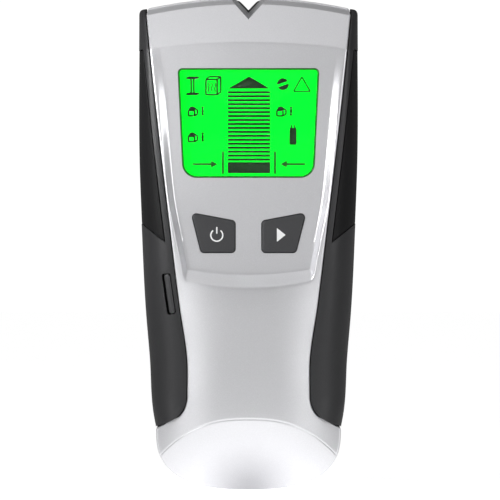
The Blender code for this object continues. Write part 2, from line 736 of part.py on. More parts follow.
def button_switch(side):
    """Where a front button's switch sits, in the panel's own frame."""
    return (side * 10.9 * MM, 85.2 * MM - PANEL_CENTRE)


def tact_switch(name, centre, base, height, parent, dark):
    """A small push switch: a square body and a round plunger."""
    x, y = centre
    half = 3.0 * MM
    body = box(name, (x - half, y - half, base), (x + half, y + half, base + height), parent)
    bevel(body, 0.3 * MM, 1)
    plunger = rod(name + "_plunger", centre, 1.6 * MM, base + height / 2, base + height + 0.8 * MM, 12, parent, True)
    boolean(body, plunger, "UNION")
    return finish(body, dark)


def scan_key(black):
    """The slim side key: a bar that stands a little proud of its slot, with a flange behind the wall."""
    key = plate("scan_key", [scan_bar(0.95 * MM, 6.5 * MM)], -2.6 * MM, 0.45 * MM, SCAN)
    bevel(key, 0.3 * MM, 2, 50)
    flange = plate("scan_flange", [scan_bar(1.75 * MM, 7.6 * MM)], -3.2 * MM, -2.4 * MM, SCAN, True)
    boolean(key, flange, "UNION")
    return finish(key, black, 35)


def scan_bar(half_width, half_length):
    """A narrow bar with round corners, in the side key's frame."""
    return rounded_rectangle(half_width, -half_length, half_length, min(half_width * 0.8, 0.7 * MM))


def scan_switch(dark):
    """The side key's switch, set beside the cover's wall inside the grip."""
    body = box("scan_switch", (-3.6 * MM, -3 * MM, -7.8 * MM), (-0.6 * MM, 3 * MM, -4.9 * MM), SCAN)
    bevel(body, 0.3 * MM, 1)
    plunger = rod("scan_plunger", (-1.2 * MM, 0.0), 0.5 * MM, -6.0 * MM, -4.1 * MM, 10, SCAN, True)
    boolean(body, plunger, "UNION")
    return finish(body, dark)


def display(clear, glass, white, dark, grey):
    """The window, its gasket, and the display module behind it: glass, light guide, holder and elastomer strip."""
    window = plate("display_window", [window_outline(0.0)], -1.85 * MM, -0.25 * MM, PANEL)
    finish(window, clear)
    gasket = plate(
        "window_gasket",
        [window_outline(1.2 * MM), window_outline(-0.35 * MM)],
        -3.1 * MM,
        -2.3 * MM,
        PANEL,
    )
    finish(gasket, dark)
    middle = (WINDOW_TOP + WINDOW_BOTTOM) / 2 - PANEL_CENTRE

    def block(name, half_x, half_y, low, high, material):
        piece = box(name, (-half_x, middle - half_y, low), (half_x, middle + half_y, high), PANEL)
        bevel(piece, 0.2 * MM, 1)
        return finish(piece, material)

    block("lcd_glass", 24.0 * MM, 18.6 * MM, -5.5 * MM, -3.5 * MM, glass)
    block("lcd_backlight", 21.6 * MM, 16.0 * MM, -8.8 * MM, -5.9 * MM, white)
    outer = rounded_rectangle(25.4 * MM, middle - 20.6 * MM, middle + 20.6 * MM, 1.5 * MM)
    inner = rounded_rectangle(24.4 * MM, middle - 19.0 * MM, middle + 19.0 * MM, 0.8 * MM)
    finish(plate("lcd_holder", [outer, inner], -9.2 * MM, -3.6 * MM, PANEL), grey)
    strip_low = middle - 18.2 * MM
    strip = box("lcd_connector", (-19 * MM, strip_low, -9.3 * MM), (19 * MM, strip_low + 1.6 * MM, -5.8 * MM), PANEL)
    finish(strip, dark)


# ---------------------------------------------------------------- boards and sensors


def main_board(green, dark, black, metal):
    """The main board on the cover's bosses, with its chip, buzzer, switches and screws."""
    low = 78.6 * MM - PANEL_CENTRE
    high = 150.0 * MM - PANEL_CENTRE
    right = [(23.4 * MM, low + 8 * MM), (25.6 * MM, high - 6 * MM), (23.0 * MM, high)]
    left = [(-x, y) for x, y in reversed(right)]
    edge = rounded_polygon([*right, *left, (0.0, low)], [1.5 * MM, 3 * MM, 1 * MM, 1 * MM, 3 * MM, 1.5 * MM, 30 * MM], 3)
    holes = [circle((x, y - PANEL_CENTRE), 1.4 * MM) for x, y in BOARD_SCREWS]
    back = -BOARD_FRONT - BOARD_THICKNESS
    board = plate("main_board", [edge, *holes], back, -BOARD_FRONT, PANEL)
    finish(board, green)

    chip = box("controller_chip", (-16 * MM, 4 * MM, back - 1.6 * MM), (-6 * MM, 14 * MM, back - 0.3 * MM), PANEL)
    bevel(chip, 0.2 * MM, 1)
    finish(chip, black)

    buzzer = rod("buzzer", (13 * MM, 10 * MM), 6.0 * MM, back - 4.6 * MM, back - 0.3 * MM, 20, PANEL)
    bevel(buzzer, 0.4 * MM, 1, 60)
    vent = rod("buzzer_vent", (13 * MM, 10 * MM), 1.2 * MM, back - 6 * MM, back - 2.5 * MM, 10, PANEL, True)
    boolean(buzzer, vent, "DIFFERENCE")
    finish(buzzer, black)

    for name, side in (("power_switch", -1), ("mode_switch", 1)):
        tact_switch(name, button_switch(side), -BOARD_FRONT + CLEARANCE, 2.5 * MM, PANEL, black)
    for k, (x, y) in enumerate(BOARD_SCREWS):
        screw("board_screw_%d" % (k + 1), (x, y - PANEL_CENTRE), back - CLEARANCE, 1.9 * MM, 0.8 * MM, 6.6 * MM, metal)


def circle(centre, radius, sides=12):
    """A round outline."""
    turns = [2 * math.pi * k / sides for k in range(sides)]
    return [(centre[0] + radius * math.cos(t), centre[1] + radius * math.sin(t)) for t in turns]


def screw(name, centre, seat, head_radius, shaft_radius, length, metal, parent=None):
    """A pan-head screw with its head below the seat and its shaft going up from it, and a cross recess."""
    parent = parent or PANEL
    head = 1.3 * MM
    body = rod(name, centre, head_radius, seat - head, seat, 14, parent)
    bevel(body, 0.35 * MM, 1, 60)
    shaft = rod(name + "_shaft", centre, shaft_radius, seat - 0.4 * MM, seat + length, 8, parent, True)
    boolean(body, shaft, "UNION")
    for long_x in (True, False):
        reach = Vector((0.6, 0.18)) if long_x else Vector((0.18, 0.6))
        reach *= head_radius
        low = (centre[0] - reach.x, centre[1] - reach.y, seat - 2 * MM)
        high = (centre[0] + reach.x, centre[1] + reach.y, seat - head + 0.6 * MM)
        boolean(body, box(name + "_arm", low, high, parent, True), "DIFFERENCE")
    return finish(body, metal, 40)


def sensors(green, copper, wire, black):
    """The sensing board near the wall, its three plates, the coil for metal, and the link to the main board."""
    outline = rounded_rectangle(26 * MM, 84 * MM, 146 * MM, 2 * MM)
    finish(plate("sensor_board", [outline], 3.9 * MM, 5.1 * MM, TOOL), green)
    for name, x in (("sensor_plate_left", -16), ("sensor_plate_centre", 0), ("sensor_plate_right", 16)):
        pad = rounded_rectangle(6.6 * MM, 98 * MM, 142 * MM, 1 * MM, 2)
        pad = [(px + x * MM, y) for px, y in pad]
        finish(plate(name, [pad], 3.1 * MM, 3.6 * MM, TOOL), copper)
    loop = [(x, y, 6.6 * MM) for x, y in rounded_rectangle(20 * MM, 102 * MM, 138 * MM, 7 * MM, 5)]
    coil = tube("metal_coil", loop, 1.1 * MM, TOOL, cyclic=True)
    coil.data.materials.append(wire)
    link = box("board_link", (-7.6 * MM, 86 * MM, 5.4 * MM), (7.6 * MM, 88.5 * MM, 14.2 * MM), TOOL)
    bevel(link, 0.3 * MM, 1)
    finish(link, black)


# ---------------------------------------------------------------- battery bay


def battery_pack(case, dark, red, black):
    """The 9 V block with its two terminals, the snap that clips onto them, and the two leads."""
    half = BATTERY_SIZE[0] / 2
    top = BATTERY_FOOT + BATTERY_SIZE[1]
    front = BATTERY_BACK + BATTERY_SIZE[2]
    battery = box("battery", (-half, BATTERY_FOOT, BATTERY_BACK), (half, top, front), TOOL)
    bevel(battery, 1.6 * MM, 2)
    middle = (BATTERY_BACK + front) / 2
    snap = box("battery_snap", (-12.6 * MM, top + 0.4 * MM, 6.4 * MM), (12.6 * MM, top + 5.2 * MM, 18.6 * MM), TOOL)
    bevel(snap, 0.8 * MM, 2)
    for side, radius in ((-1, 2.9 * MM), (1, 4.1 * MM)):
        post = rod("battery_post", (0, 0), radius, 0, 3.2 * MM, 14, TOOL, True)
        post.location = (side * 6.35 * MM, top + 0.6 * MM, middle)
        socket = rod("snap_socket", (0, 0), radius + CLEARANCE, 0, 3.4 * MM, 14, TOOL, True)
        socket.location = (side * 6.35 * MM, top + 0.8 * MM, middle)
        for piece in (post, socket):
            piece.rotation_euler = (-math.pi / 2, 0, 0)
        boolean(battery, post, "UNION")
        boolean(snap, socket, "DIFFERENCE")
    finish(battery, case)
    finish(snap, dark)

    for name, x, material in (("lead_red", -4.5, red), ("lead_black", 4.5, black)):
        start = top + 5.5 * MM
        t = np.linspace(0, 1, 16)
        path_x = (x + 1.5 * np.sin(math.pi * t)) * MM
        path_y = start + (84.6 * MM - start) * t**1.2
        path_z = (12.6 - 1.6 * np.cos(math.pi * t) - 0.9 * t) * MM
        lead = tube(name, list(zip(path_x, path_y, path_z)), 0.65 * MM, TOOL)
        lead.data.materials.append(material)


def battery_door(dark, foam):
    """The door: a plate with a snap tongue and two hooks that turn in the rear cover, and a foam pad inside it."""
    outline = rounded_rectangle(DOOR_HALF_WIDTH, 0.0, DOOR_TOP - DOOR_FOOT, 1.2 * MM)
    door = plate("battery_door", [outline], 0.0, 1.8 * MM, DOOR)
    bevel(door, 0.25 * MM, 1, 60)
    for x in (-11 * MM, 11 * MM):
        neck = ((x - 3 * MM, 0.3 * MM, 1.5 * MM), (x + 3 * MM, 1.7 * MM, 3.3 * MM))
        foot = ((x - 2.9 * MM, -1.7 * MM, 2.35 * MM), (x + 2.9 * MM, 1.2 * MM, 3.2 * MM))
        for low, high in (neck, foot):
            boolean(door, box("door_hook", low, high, DOOR, True), "UNION")
    tongue_low = DOOR_TOP - DOOR_FOOT - 2.2 * MM
    low = (-5 * MM, tongue_low, 1.5 * MM)
    high = (5 * MM, tongue_low + 1.3 * MM, 5.4 * MM)
    boolean(door, box("door_tongue", low, high, DOOR, True), "UNION")
    grooves = []
    for k in range(5):
        y = DOOR_TOP - DOOR_FOOT - (6.0 + 2.0 * k) * MM
        grooves.append(box("door_groove", (-8 * MM, y - 0.4 * MM, -1 * MM), (8 * MM, y + 0.4 * MM, 0.45 * MM)))
    boolean(door, merged("door_grooves", grooves, DOOR), "DIFFERENCE")
    finish(door, dark, 30)

    pad = box("door_foam", (-10 * MM, 5 * MM, 2.1 * MM), (10 * MM, 48 * MM, 2.9 * MM), DOOR)
    finish(pad, foam)


# ---------------------------------------------------------------- outside fittings


def glides(felt):
    """The two felt pads that slide on the wall; the origin lies on the upper one."""
    for name, half, low, high in (("glide_pad_top", 22, 146, 154), ("glide_pad_bottom", 14, 8, 16)):
        outline = rounded_rectangle(half * MM, low * MM, high * MM, 1.2 * MM)
        finish(plate(name, [outline], 0.0, 0.9 * MM, TOOL), felt)


def case_screws(metal):
    """Four screws from the rear into the front cover's bosses."""
    for k, centre in enumerate(CASE_SCREWS):
        screw("case_screw_%d" % (k + 1), centre, 4.0 * MM, 2.1 * MM, 1.0 * MM, 9.5 * MM, metal, TOOL)


def surface_frame(x, y):
    """Rotation of a frame on the left grip: Z out of the surface and Y along the silver edge."""
    step = 0.5 * MM
    across = float(grip_depth(x + step, y) - grip_depth(x - step, y)) / (2 * step)
    up = float(grip_depth(x, y + step) - grip_depth(x, y - step)) / (2 * step)
    lean = float(along(SILVER_HALF_WIDTH, y + step) - along(SILVER_HALF_WIDTH, y - step)) / (2 * step)
    normal = Vector((-across, -up, 1.0)).normalized()
    tangent = Vector((-lean, 1.0, 0.0))
    tangent = (tangent - normal * tangent.dot(normal)).normalized()
    side = tangent.cross(normal)
    return Matrix((side, tangent, normal)).transposed().to_euler()


clear_scene()
PARTS = make_collection("stud_finder")
CUTTERS = make_collection("cutters", hidden=True)
TOOL = make_empty("tool_frame", (0.0, 0.0, -ORIGIN_HEIGHT), (math.pi / 2, 0.0, 0.0))
PANEL = make_empty(
    "panel_frame",
    (0.0, PANEL_CENTRE, PANEL_FOOT_DEPTH + math.tan(PANEL_TILT) * (PANEL_CENTRE - PANEL_FOOT)),
    (PANEL_TILT, 0.0, 0.0),
    TOOL,
)
SCAN = make_empty(
    "scan_frame",
    (*SCAN_KEY_CENTRE, float(grip_depth(*SCAN_KEY_CENTRE))),
    surface_frame(*SCAN_KEY_CENTRE),
    TOOL,
)
DOOR = make_empty("door_hinge", (0.0, DOOR_FOOT, BACK_PLANE), parent=TOOL)


def build():
    """Makes every piece."""
    silver = plastic("silver_paint", (0.78, 0.79, 0.81), 0.32, 0.6)
    dark = plastic("dark_plastic", (0.045, 0.045, 0.047), 0.5)
    black = plastic("black_plastic", (0.02, 0.02, 0.022), 0.4)
    rubber = plastic("grip_rubber", (0.02, 0.02, 0.02), 0.75)
    clear = plastic("clear_window", (0.9, 0.95, 0.92), 0.03, 0.0, 0.9)
    glass = plastic("display_green", (0.02, 0.85, 0.08), 0.1)
    white = plastic("light_guide", (0.9, 0.9, 0.9), 0.4)
    grey = plastic("grey_plastic", (0.5, 0.5, 0.5), 0.5)
    green = plastic("circuit_board", (0.02, 0.18, 0.06), 0.4)
    copper = plastic("copper", (0.8, 0.4, 0.2), 0.3, 1.0)
    metal = plastic("screw_steel", (0.5, 0.5, 0.52), 0.35, 1.0)
    case = plastic("battery_case", (0.25, 0.26, 0.28), 0.35)
    red = plastic("red_wire", (0.6, 0.02, 0.02), 0.4)
    foam = plastic("foam", (0.08, 0.08, 0.08), 0.95)
    felt = plastic("felt", (0.06, 0.06, 0.065), 0.98)

    notch = notch_cutter()
    front_cover(notch, silver)
    rear_cover(notch, dark)
    for side, name in ((-1, "left_grip"), (1, "right_grip")):
        grip(name, side, dark)
        grip_inlay(name + "_pad", side, rubber)
    front_button("power_button", -1, black)
    front_button("mode_button", 1, black)
    scan_key(black)
    scan_switch(dark)
    display(clear, glass, white, dark, grey)
    main_board(green, dark, black, metal)
    sensors(green, copper, copper, black)
    battery_pack(case, dark, red, black)
    battery_door(dark, foam)
    glides(felt)
    case_screws(metal)


build()
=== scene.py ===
"""Looks of a hand-held stud finder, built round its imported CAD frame.

Lengths inside the builders are millimetres in the tool's own frame: x across, height up the tool from its
lower end, depth away from the wall. Placement.at turns them into the row frame in metres, where the face
looks along -Y.
"""

import logging
import math
from dataclasses import dataclass
from enum import Enum

import bmesh
import bpy
import numpy as np
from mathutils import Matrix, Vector


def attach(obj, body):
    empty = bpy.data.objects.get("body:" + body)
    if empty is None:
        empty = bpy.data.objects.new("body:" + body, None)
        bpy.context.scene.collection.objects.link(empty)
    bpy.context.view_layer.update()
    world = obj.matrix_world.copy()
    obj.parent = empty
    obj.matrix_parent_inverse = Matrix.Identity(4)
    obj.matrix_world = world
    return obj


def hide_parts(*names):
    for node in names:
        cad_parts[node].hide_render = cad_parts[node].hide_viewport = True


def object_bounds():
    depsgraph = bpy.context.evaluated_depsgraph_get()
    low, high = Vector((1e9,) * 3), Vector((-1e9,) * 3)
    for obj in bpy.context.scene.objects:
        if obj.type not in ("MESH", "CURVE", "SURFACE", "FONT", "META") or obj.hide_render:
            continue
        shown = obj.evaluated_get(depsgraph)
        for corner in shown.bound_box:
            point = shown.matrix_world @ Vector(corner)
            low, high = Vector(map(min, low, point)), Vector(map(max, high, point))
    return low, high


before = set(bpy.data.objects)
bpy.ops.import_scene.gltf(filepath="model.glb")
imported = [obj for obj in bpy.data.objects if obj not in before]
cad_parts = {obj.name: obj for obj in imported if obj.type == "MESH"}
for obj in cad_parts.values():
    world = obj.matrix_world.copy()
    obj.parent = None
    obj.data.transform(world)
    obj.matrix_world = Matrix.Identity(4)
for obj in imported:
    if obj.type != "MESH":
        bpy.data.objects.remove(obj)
CAD_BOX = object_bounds()
LOG = logging.getLogger("stud_finder")
MM = 0.001
ORIGIN_HEIGHT = 150.0

Array = np.ndarray
Colour = tuple[float, float, float]
Stations = tuple[tuple[float, float], ...]


class Body(Enum):
    """The CAD bodies that pieces ride on."""

    CASE = "case"
    POWER = "power_button"
    MODE = "mode_button"
    SCAN = "scan_key"
    DOOR = "battery_door"


class Texture(Enum):
    """The kinds of surface pattern that a finish can carry."""

    GRAIN = "moulded grain"
    FLAKE = "metal flake paint"
    FIBRE = "felted fibre"
    CELL = "foam cells"
    TRACE = "circuit traces"
    BRUSHED = "drawn metal"


class Cut(Enum):
    """What a boolean does with its tool."""

    AWAY = "DIFFERENCE"
    KEEP = "INTERSECT"
    JOIN = "UNION"


# ------------------------------------------------------------------ finishes


SLOW_SCALE = 45.0
SLOW_SHARE = 0.35
COAT_ROUGHNESS = 0.12


@dataclass(frozen=True)
class Finish:
    """One procedural finish: a colour and a roughness that vary, and a relief at texture scale."""

    name: str
    colour: Colour
    roughness: float
    texture: Texture = Texture.GRAIN
    metallic: float = 0.0
    variation: float = 0.12
    grain: float = 3200.0
    relief: float = 0.02
    coat: float = 0.0
    sheen: float = 0.0
    transmission: float = 0.0
    ior: float = 1.5
    glow: float = 0.0

    def material(self) -> bpy.types.Material:
        """Builds the node material, or returns it if it is already there.

        Returns:
            The material, whose colour is the finish's colour times a slow and a fine noise.
        """
        found = bpy.data.materials.get("finish_" + self.name)
        if found:
            return found
        made = bpy.data.materials.new("finish_" + self.name)
        made.use_nodes = True
        made.diffuse_color = (*self.colour, 1.0)
        tree = made.node_tree
        shader = tree.nodes["Principled BSDF"]
        shader.inputs["Metallic"].default_value = self.metallic
        shader.inputs["IOR"].default_value = self.ior
        shader.inputs["Coat Weight"].default_value = self.coat
        shader.inputs["Coat Roughness"].default_value = COAT_ROUGHNESS
        shader.inputs["Sheen Weight"].default_value = self.sheen
        shader.inputs["Transmission Weight"].default_value = self.transmission
        place = tree.nodes.new("ShaderNodeTexCoord").outputs["Object"]
        fine = self._pattern(tree, place)
        slow = self._noise(tree, place, SLOW_SCALE, 3.0)
        blend = tree.nodes.new("ShaderNodeMath")
        blend.operation = "MULTIPLY_ADD"
        blend.inputs[1].default_value = SLOW_SHARE
        tree.links.new(slow, blend.inputs[0])
        tree.links.new(fine, blend.inputs[2])
        ramp = tree.nodes.new("ShaderNodeValToRGB")
        low, high = ramp.color_ramp.elements
        low.position, high.position = 0.3, 1.05
        low.color = (*self._scaled(1 - self.variation), 1.0)
        high.color = (*self._scaled(1 + self.variation), 1.0)
        tree.links.new(blend.outputs[0], ramp.inputs[0])
        tree.links.new(ramp.outputs[0], shader.inputs["Base Color"])
        gloss = tree.nodes.new("ShaderNodeMapRange")
        gloss.inputs["To Min"].default_value = max(0.0, self.roughness * 0.9)
        gloss.inputs["To Max"].default_value = min(1.0, self.roughness * 1.12)
        tree.links.new(slow, gloss.inputs["Value"])
        tree.links.new(gloss.outputs[0], shader.inputs["Roughness"])
        if self.glow:
            tree.links.new(ramp.outputs[0], shader.inputs["Emission Color"])
            shader.inputs["Emission Strength"].default_value = self.glow
        if self.relief:
            bump = tree.nodes.new("ShaderNodeBump")
            bump.inputs["Strength"].default_value = 1.0
            bump.inputs["Distance"].default_value = self.relief * MM
            tree.links.new(fine, bump.inputs["Height"])
            tree.links.new(bump.outputs[0], shader.inputs["Normal"])
        return made

    def _scaled(self, factor: float) -> Colour:
        """The finish's colour times a factor, kept under 1."""
        return tuple(min(1.0, channel * factor) for channel in self.colour)

    def _noise(
        self, tree: bpy.types.NodeTree, place: bpy.types.NodeSocket, scale: float, detail: float
    ) -> bpy.types.NodeSocket:
        """Adds a noise texture over the place.

        Args:
            tree: The material's nodes.
            place: The coordinates it reads.
            scale: How many features there are in a metre.
            detail: How many finer octaves it has.

        Returns:
            The noise's factor socket.
        """
        noise = tree.nodes.new("ShaderNodeTexNoise")
        noise.inputs["Scale"].default_value = scale
        noise.inputs["Detail"].default_value = detail
        tree.links.new(place, noise.inputs["Vector"])
        return noise.outputs[0]

    def _pattern(self, tree: bpy.types.NodeTree, place: bpy.types.NodeSocket) -> bpy.types.NodeSocket:
        """Adds the finish's own fine pattern.

        Args:
            tree: The material's nodes.
            place: Object coordinates.

        Returns:
            A socket that runs from about 0 to 1 over the pattern.
        """
        if self.texture in (Texture.FLAKE, Texture.CELL):
            cells = tree.nodes.new("ShaderNodeTexVoronoi")
            cells.inputs["Scale"].default_value = self.grain
            tree.links.new(place, cells.inputs["Vector"])
            return cells.outputs["Distance"]
        if self.texture in (Texture.FIBRE, Texture.BRUSHED):
            stretch = tree.nodes.new("ShaderNodeMapping")
            stretch.inputs["Scale"].default_value = (1.0, 0.25, 0.12)
            tree.links.new(place, stretch.inputs["Vector"])
            return self._noise(tree, stretch.outputs[0], self.grain, 6.0)
        if self.texture is Texture.TRACE:
            lines = tree.nodes.new("ShaderNodeTexBrick")
            lines.inputs["Scale"].default_value = self.grain
            lines.inputs["Color1"].default_value = (0.45, 0.45, 0.45, 1.0)
            lines.inputs["Color2"].default_value = (0.6, 0.6, 0.6, 1.0)
            lines.inputs["Mortar"].default_value = (1.0, 1.0, 1.0, 1.0)
            lines.inputs["Mortar Size"].default_value = 0.06
            turn = tree.nodes.new("ShaderNodeMapping")
            turn.inputs["Rotation"].default_value = (math.pi / 2, 0.0, 0.0)
            tree.links.new(place, turn.inputs["Vector"])
            tree.links.new(turn.outputs[0], lines.inputs["Vector"])
            return lines.outputs["Color"]
        return self._noise(tree, place, self.grain, 4.0)


SILVER = Finish("silver_paint", (0.80, 0.80, 0.825), 0.3, Texture.FLAKE, 0.6, 0.05, 5200.0, 0.004, coat=0.2)
DARK = Finish("dark_plastic", (0.027, 0.027, 0.029), 0.46, variation=0.2, grain=3600.0, relief=0.03)
RUBBER = Finish(
    "grip_rubber", (0.006, 0.006, 0.0066), 0.62, variation=0.25, grain=2600.0, relief=0.05, ior=1.35
)
BUTTON = Finish("button_black", (0.046, 0.046, 0.049), 0.42, variation=0.15, grain=4200.0, relief=0.015)
CLEAR = Finish(
    "clear_window", (0.98, 1.0, 0.99), 0.02, variation=0.01, relief=0.0, transmission=1.0, ior=1.2
)
GREEN = Finish(
    "display_green", (0.001, 0.98, 0.024), 0.5, variation=0.03, grain=900.0, relief=0.0, ior=1.05, glow=1.0
)
SEGMENT = Finish("display_segment", (0.004, 0.085, 0.004), 0.5, variation=0.1, relief=0.0, glow=0.8)
ICON = Finish("display_icon", (0.001, 0.022, 0.002), 0.5, variation=0.1, relief=0.0, glow=0.5)
MARK = Finish("white_marking", (0.86, 0.86, 0.86), 0.45, variation=0.04, relief=0.01)
GUIDE = Finish("light_guide", (0.85, 0.88, 0.85), 0.4, variation=0.04, relief=0.01)
GREY = Finish("grey_plastic", (0.42, 0.42, 0.43), 0.5)
SOFT = Finish("soft_black", (0.02, 0.02, 0.02), 0.85, variation=0.3, grain=2000.0, relief=0.05, sheen=0.2)
BOARD = Finish("circuit_board", (0.02, 0.20, 0.07), 0.35, Texture.TRACE, 0.0, 0.35, 420.0, 0.03)
COPPER = Finish("copper", (0.80, 0.42, 0.24), 0.32, Texture.BRUSHED, 1.0, 0.15, 2500.0, 0.01)
STEEL = Finish("screw_steel", (0.56, 0.56, 0.58), 0.33, Texture.BRUSHED, 1.0, 0.15, 3000.0, 0.012)
BATTERY = Finish("battery_case", (0.10, 0.11, 0.13), 0.3, Texture.BRUSHED, 0.6, 0.3, 1800.0, 0.01, coat=0.3)
RED = Finish("red_wire", (0.55, 0.015, 0.015), 0.4, relief=0.01)
BLACK = Finish("black_wire", (0.015, 0.015, 0.015), 0.42, relief=0.01)
FOAM = Finish("foam", (0.055, 0.055, 0.058), 0.95, Texture.CELL, 0.0, 0.5, 1800.0, 0.25, sheen=0.4)
FELT = Finish("felt", (0.05, 0.05, 0.054), 0.95, Texture.FIBRE, 0.0, 0.45, 5000.0, 0.12, sheen=0.6)


# ------------------------------------------------------------------ the tool's shape


def along(stations: Stations, position: Array) -> Array:
    """A smooth curve through (position, value) stations: a cubic Hermite with the stations' mean slopes.

    Args:
        stations: The pairs, in rising order of position.
        position: Where to read the curve; outside the stations it stays at the end value.

    Returns:
        The curve's values.
    """
    at, value = np.array(stations, dtype=float).T
    slope = np.gradient(value, at)
    position = np.clip(np.asarray(position, dtype=float), at[0], at[-1])
    k = np.clip(np.searchsorted(at, position) - 1, 0, len(at) - 2)
    span = at[k + 1] - at[k]
    t = (position - at[k]) / span
    smooth = value[k] + (value[k + 1] - value[k]) * t * t * (3 - 2 * t)
    return smooth + span * (slope[k] * t * (1 - t) ** 2 - slope[k + 1] * t * t * (1 - t))


def soft_low(a: Array, b: Array, radius: float) -> Array:
    """The lower of two surfaces, with a rounded ridge: half of a + b - sqrt((a - b)^2 + radius^2)."""
    return 0.5 * (a + b - np.sqrt((a - b) ** 2 + radius**2))


def soft_ramp(t: Array, radius: float) -> Array:
    """A ramp from 0 at t = 0 to 1 at t = 1 whose two corners are rounded by hyperbolas."""
    return 0.5 * (np.sqrt(t**2 + radius**2) - np.sqrt((t - 1) ** 2 + radius**2) + 1)


@dataclass(frozen=True)
class ToolShape:
    """The formulas of the tool's outlines and of its sculpted face, in millimetres."""

    length: float = 164.2
    top_radius: float = 154.0
    chin_half_width: float = 30.8
    chin_height: float = 20.5
    chin_rim: float = 12.0
    chin_spread: float = 2.6
    chin_rise: float = 2.8
    waist: float = 31.0
    seam: float = 24.0
    seam_drop: float = 12.4
    seam_half_width: float = 29.4
    seam_groove: tuple = (0.14, 0.24)
    crest: float = 148.9
    crest_bow: float = 2.3 / 32.3**2
    band: float = 161.7
    slant_depth: float = 28.0
    slant_fall: float = 0.47
    lip_fall: float = 1.8
    crown: float = 0.6 / 32**2
    parting: float = 7.0
    clearance: float = 0.3
    panel_foot: float = 71.7
    panel_foot_depth: float = 25.8
    panel_foot_bow: float = 1.5 / 18**2
    panel_bevel: float = 3.9
    bevel_start: float = 0.92
    panel_centre: float = 110.3
    panel_rise: float = 2.2 / 77.2
    grip_rim: float = 14.0
    silver: Stations = (
        (31, 20.3), (43, 20.3), (62, 22.9), (83.4, 25.5),
        (110, 28.7), (136, 31.6), (158.9, 34.0),
    )
    outer: Stations = (
        (20.5, 30.8), (25.3, 31.7), (44.5, 33.0), (60, 34.3),
        (88.5, 35.7), (106.7, 36.4), (158.5, 36.5),
    )
    panel: Stations = (
        (60, 20.2), (72.6, 21.9), (84, 24.1), (95.5, 26.4),
        (113.4, 28.3), (136, 30.4), (149, 32.2),
    )
    ridge: Stations = ((0, 23.0), (24, 26.2), (45, 28.6), (60, 29.6), (71, 29.8), (110, 28.9), (149, 28.0))
    drop: Stations = ((0, 3.0), (31, 3.2), (60, 2.9), (85, 1.3), (110, 0.8), (149, 0.6))

    def chin(self, x: Array) -> Array:
        """Height of the lower edge: a superellipse quarter rising to the corners."""
        side = np.clip(np.abs(x) / self.chin_half_width, 0, 1)
        return self.chin_height * (1 - (1 - side**self.chin_spread) ** (1 / self.chin_rise))

    def crease(self, x: Array) -> Array:
        """Height of the seam above the chin: flat in the middle, falling with the chin's own power of x."""
        return self.seam - self.seam_drop * (np.abs(x) / self.seam_half_width) ** self.chin_spread

    def body_face(self, x: Array, y: Array) -> Array:
        """Depth round the panel: the ridge less a drop that grows with the share across to the power 2.4."""
        return along(self.ridge, y) - along(self.drop, y) * (np.abs(x) / along(self.silver, y)) ** 2.4

    def panel_face(self, x: Array, y: Array) -> Array:
        """Depth of the sunk panel: a tilted plane with a very shallow crown."""
        return self.panel_foot_depth + self.panel_rise * (y - self.panel_foot) - self.crown * x**2

    def face(self, x: Array, y: Array) -> Array:
        """Depth of the silver face.

        The panel blends into the body over a bevel with rounded corners. Above the crest the surface is the
        softened minimum of that and two planes that fall away to the top edge. Below the seam it rolls down
        to the chin's rim, and a narrow bell-shaped groove marks the seam.

        Args:
            x: Distance from the middle.
            y: Height up the tool.

        Returns:
            The depth away from the wall.
        """
        edge = along(self.panel, y)
        across = (np.abs(x) - self.bevel_start * edge) / ((1 - self.bevel_start) * edge)
        down = (self.panel_foot + self.panel_foot_bow * x**2 - y) / self.panel_bevel
        reach = (np.clip(across, 0, 2.5) ** 3 + np.clip(down, 0, 2.5) ** 3) ** (1 / 3)
        outside = soft_ramp(np.where(reach > 0, reach, np.maximum(across, down)), 0.09)
        body = self.body_face(x, y)
        depth = self.panel_face(x, y) * (1 - outside) + body * outside
        crest = self.crest - self.crest_bow * x**2
        band = self.band - x**2 / (2 * self.top_radius)
        start = self.slant_depth - self.crown * x**2
        slant = start - self.slant_fall * (y - crest)
        lip = start - self.slant_fall * (band - crest) - self.lip_fall * (y - band)
        depth = soft_low(depth, soft_low(slant, lip, 0.12), 0.14)
        near = np.clip(x, 0.9 - self.seam_half_width, self.seam_half_width - 0.9)
        seam = self.crease(near)
        roll = np.clip((seam - y) / (seam - self.chin(near)), -1, 1)
        roll = 0.5 * (roll + np.sqrt(roll**2 + 0.015**2))
        middle = (1 - np.clip(np.abs(x) / self.chin_half_width, 0, 1) ** 2) ** 0.8
        depth = depth - (body - self.chin_rim) * (0.6 * roll + 0.4 * roll**3) * middle
        groove_depth, groove_width = self.seam_groove
        return depth - groove_depth * np.exp(-(((y - self.crease(x)) / groove_width) ** 2))

    def plain_face(self, x: Array, y: Array) -> Array:
        """Depth of the face beside the grips, which start from it."""
        return self.face(x, np.maximum(y, self.waist))

    def grip(self, x: Array, y: Array, thinner: float = 0.0) -> Array:
        """Depth of a side grip: a quarter superellipse from the silver edge to the grip's rim.

        Args:
            x: Distance from the middle.
            y: Height up the tool.
            thinner: How much smaller both half-axes are.

        Returns:
            The depth away from the wall.
        """
        inner = along(self.silver, y)
        share = np.clip((np.abs(x) - inner) / (along(self.outer, y) - thinner - inner), 0, 1)
        start = self.plain_face(inner, y) - 0.2 - thinner
        return self.grip_rim + (start - self.grip_rim) * np.sqrt(1 - share**2.2)

    def chin_quarter(self) -> Array:
        """Half of the lower edge, from its middle to its right corner: the curve that chin() gives."""
        turn = np.linspace(0, math.pi / 2, 70)
        across = self.chin_half_width * np.sin(turn) ** (2 / self.chin_spread)
        height = self.chin_height * (1 - np.cos(turn) ** (2 / self.chin_rise))
        return np.stack((across, height), axis=1)

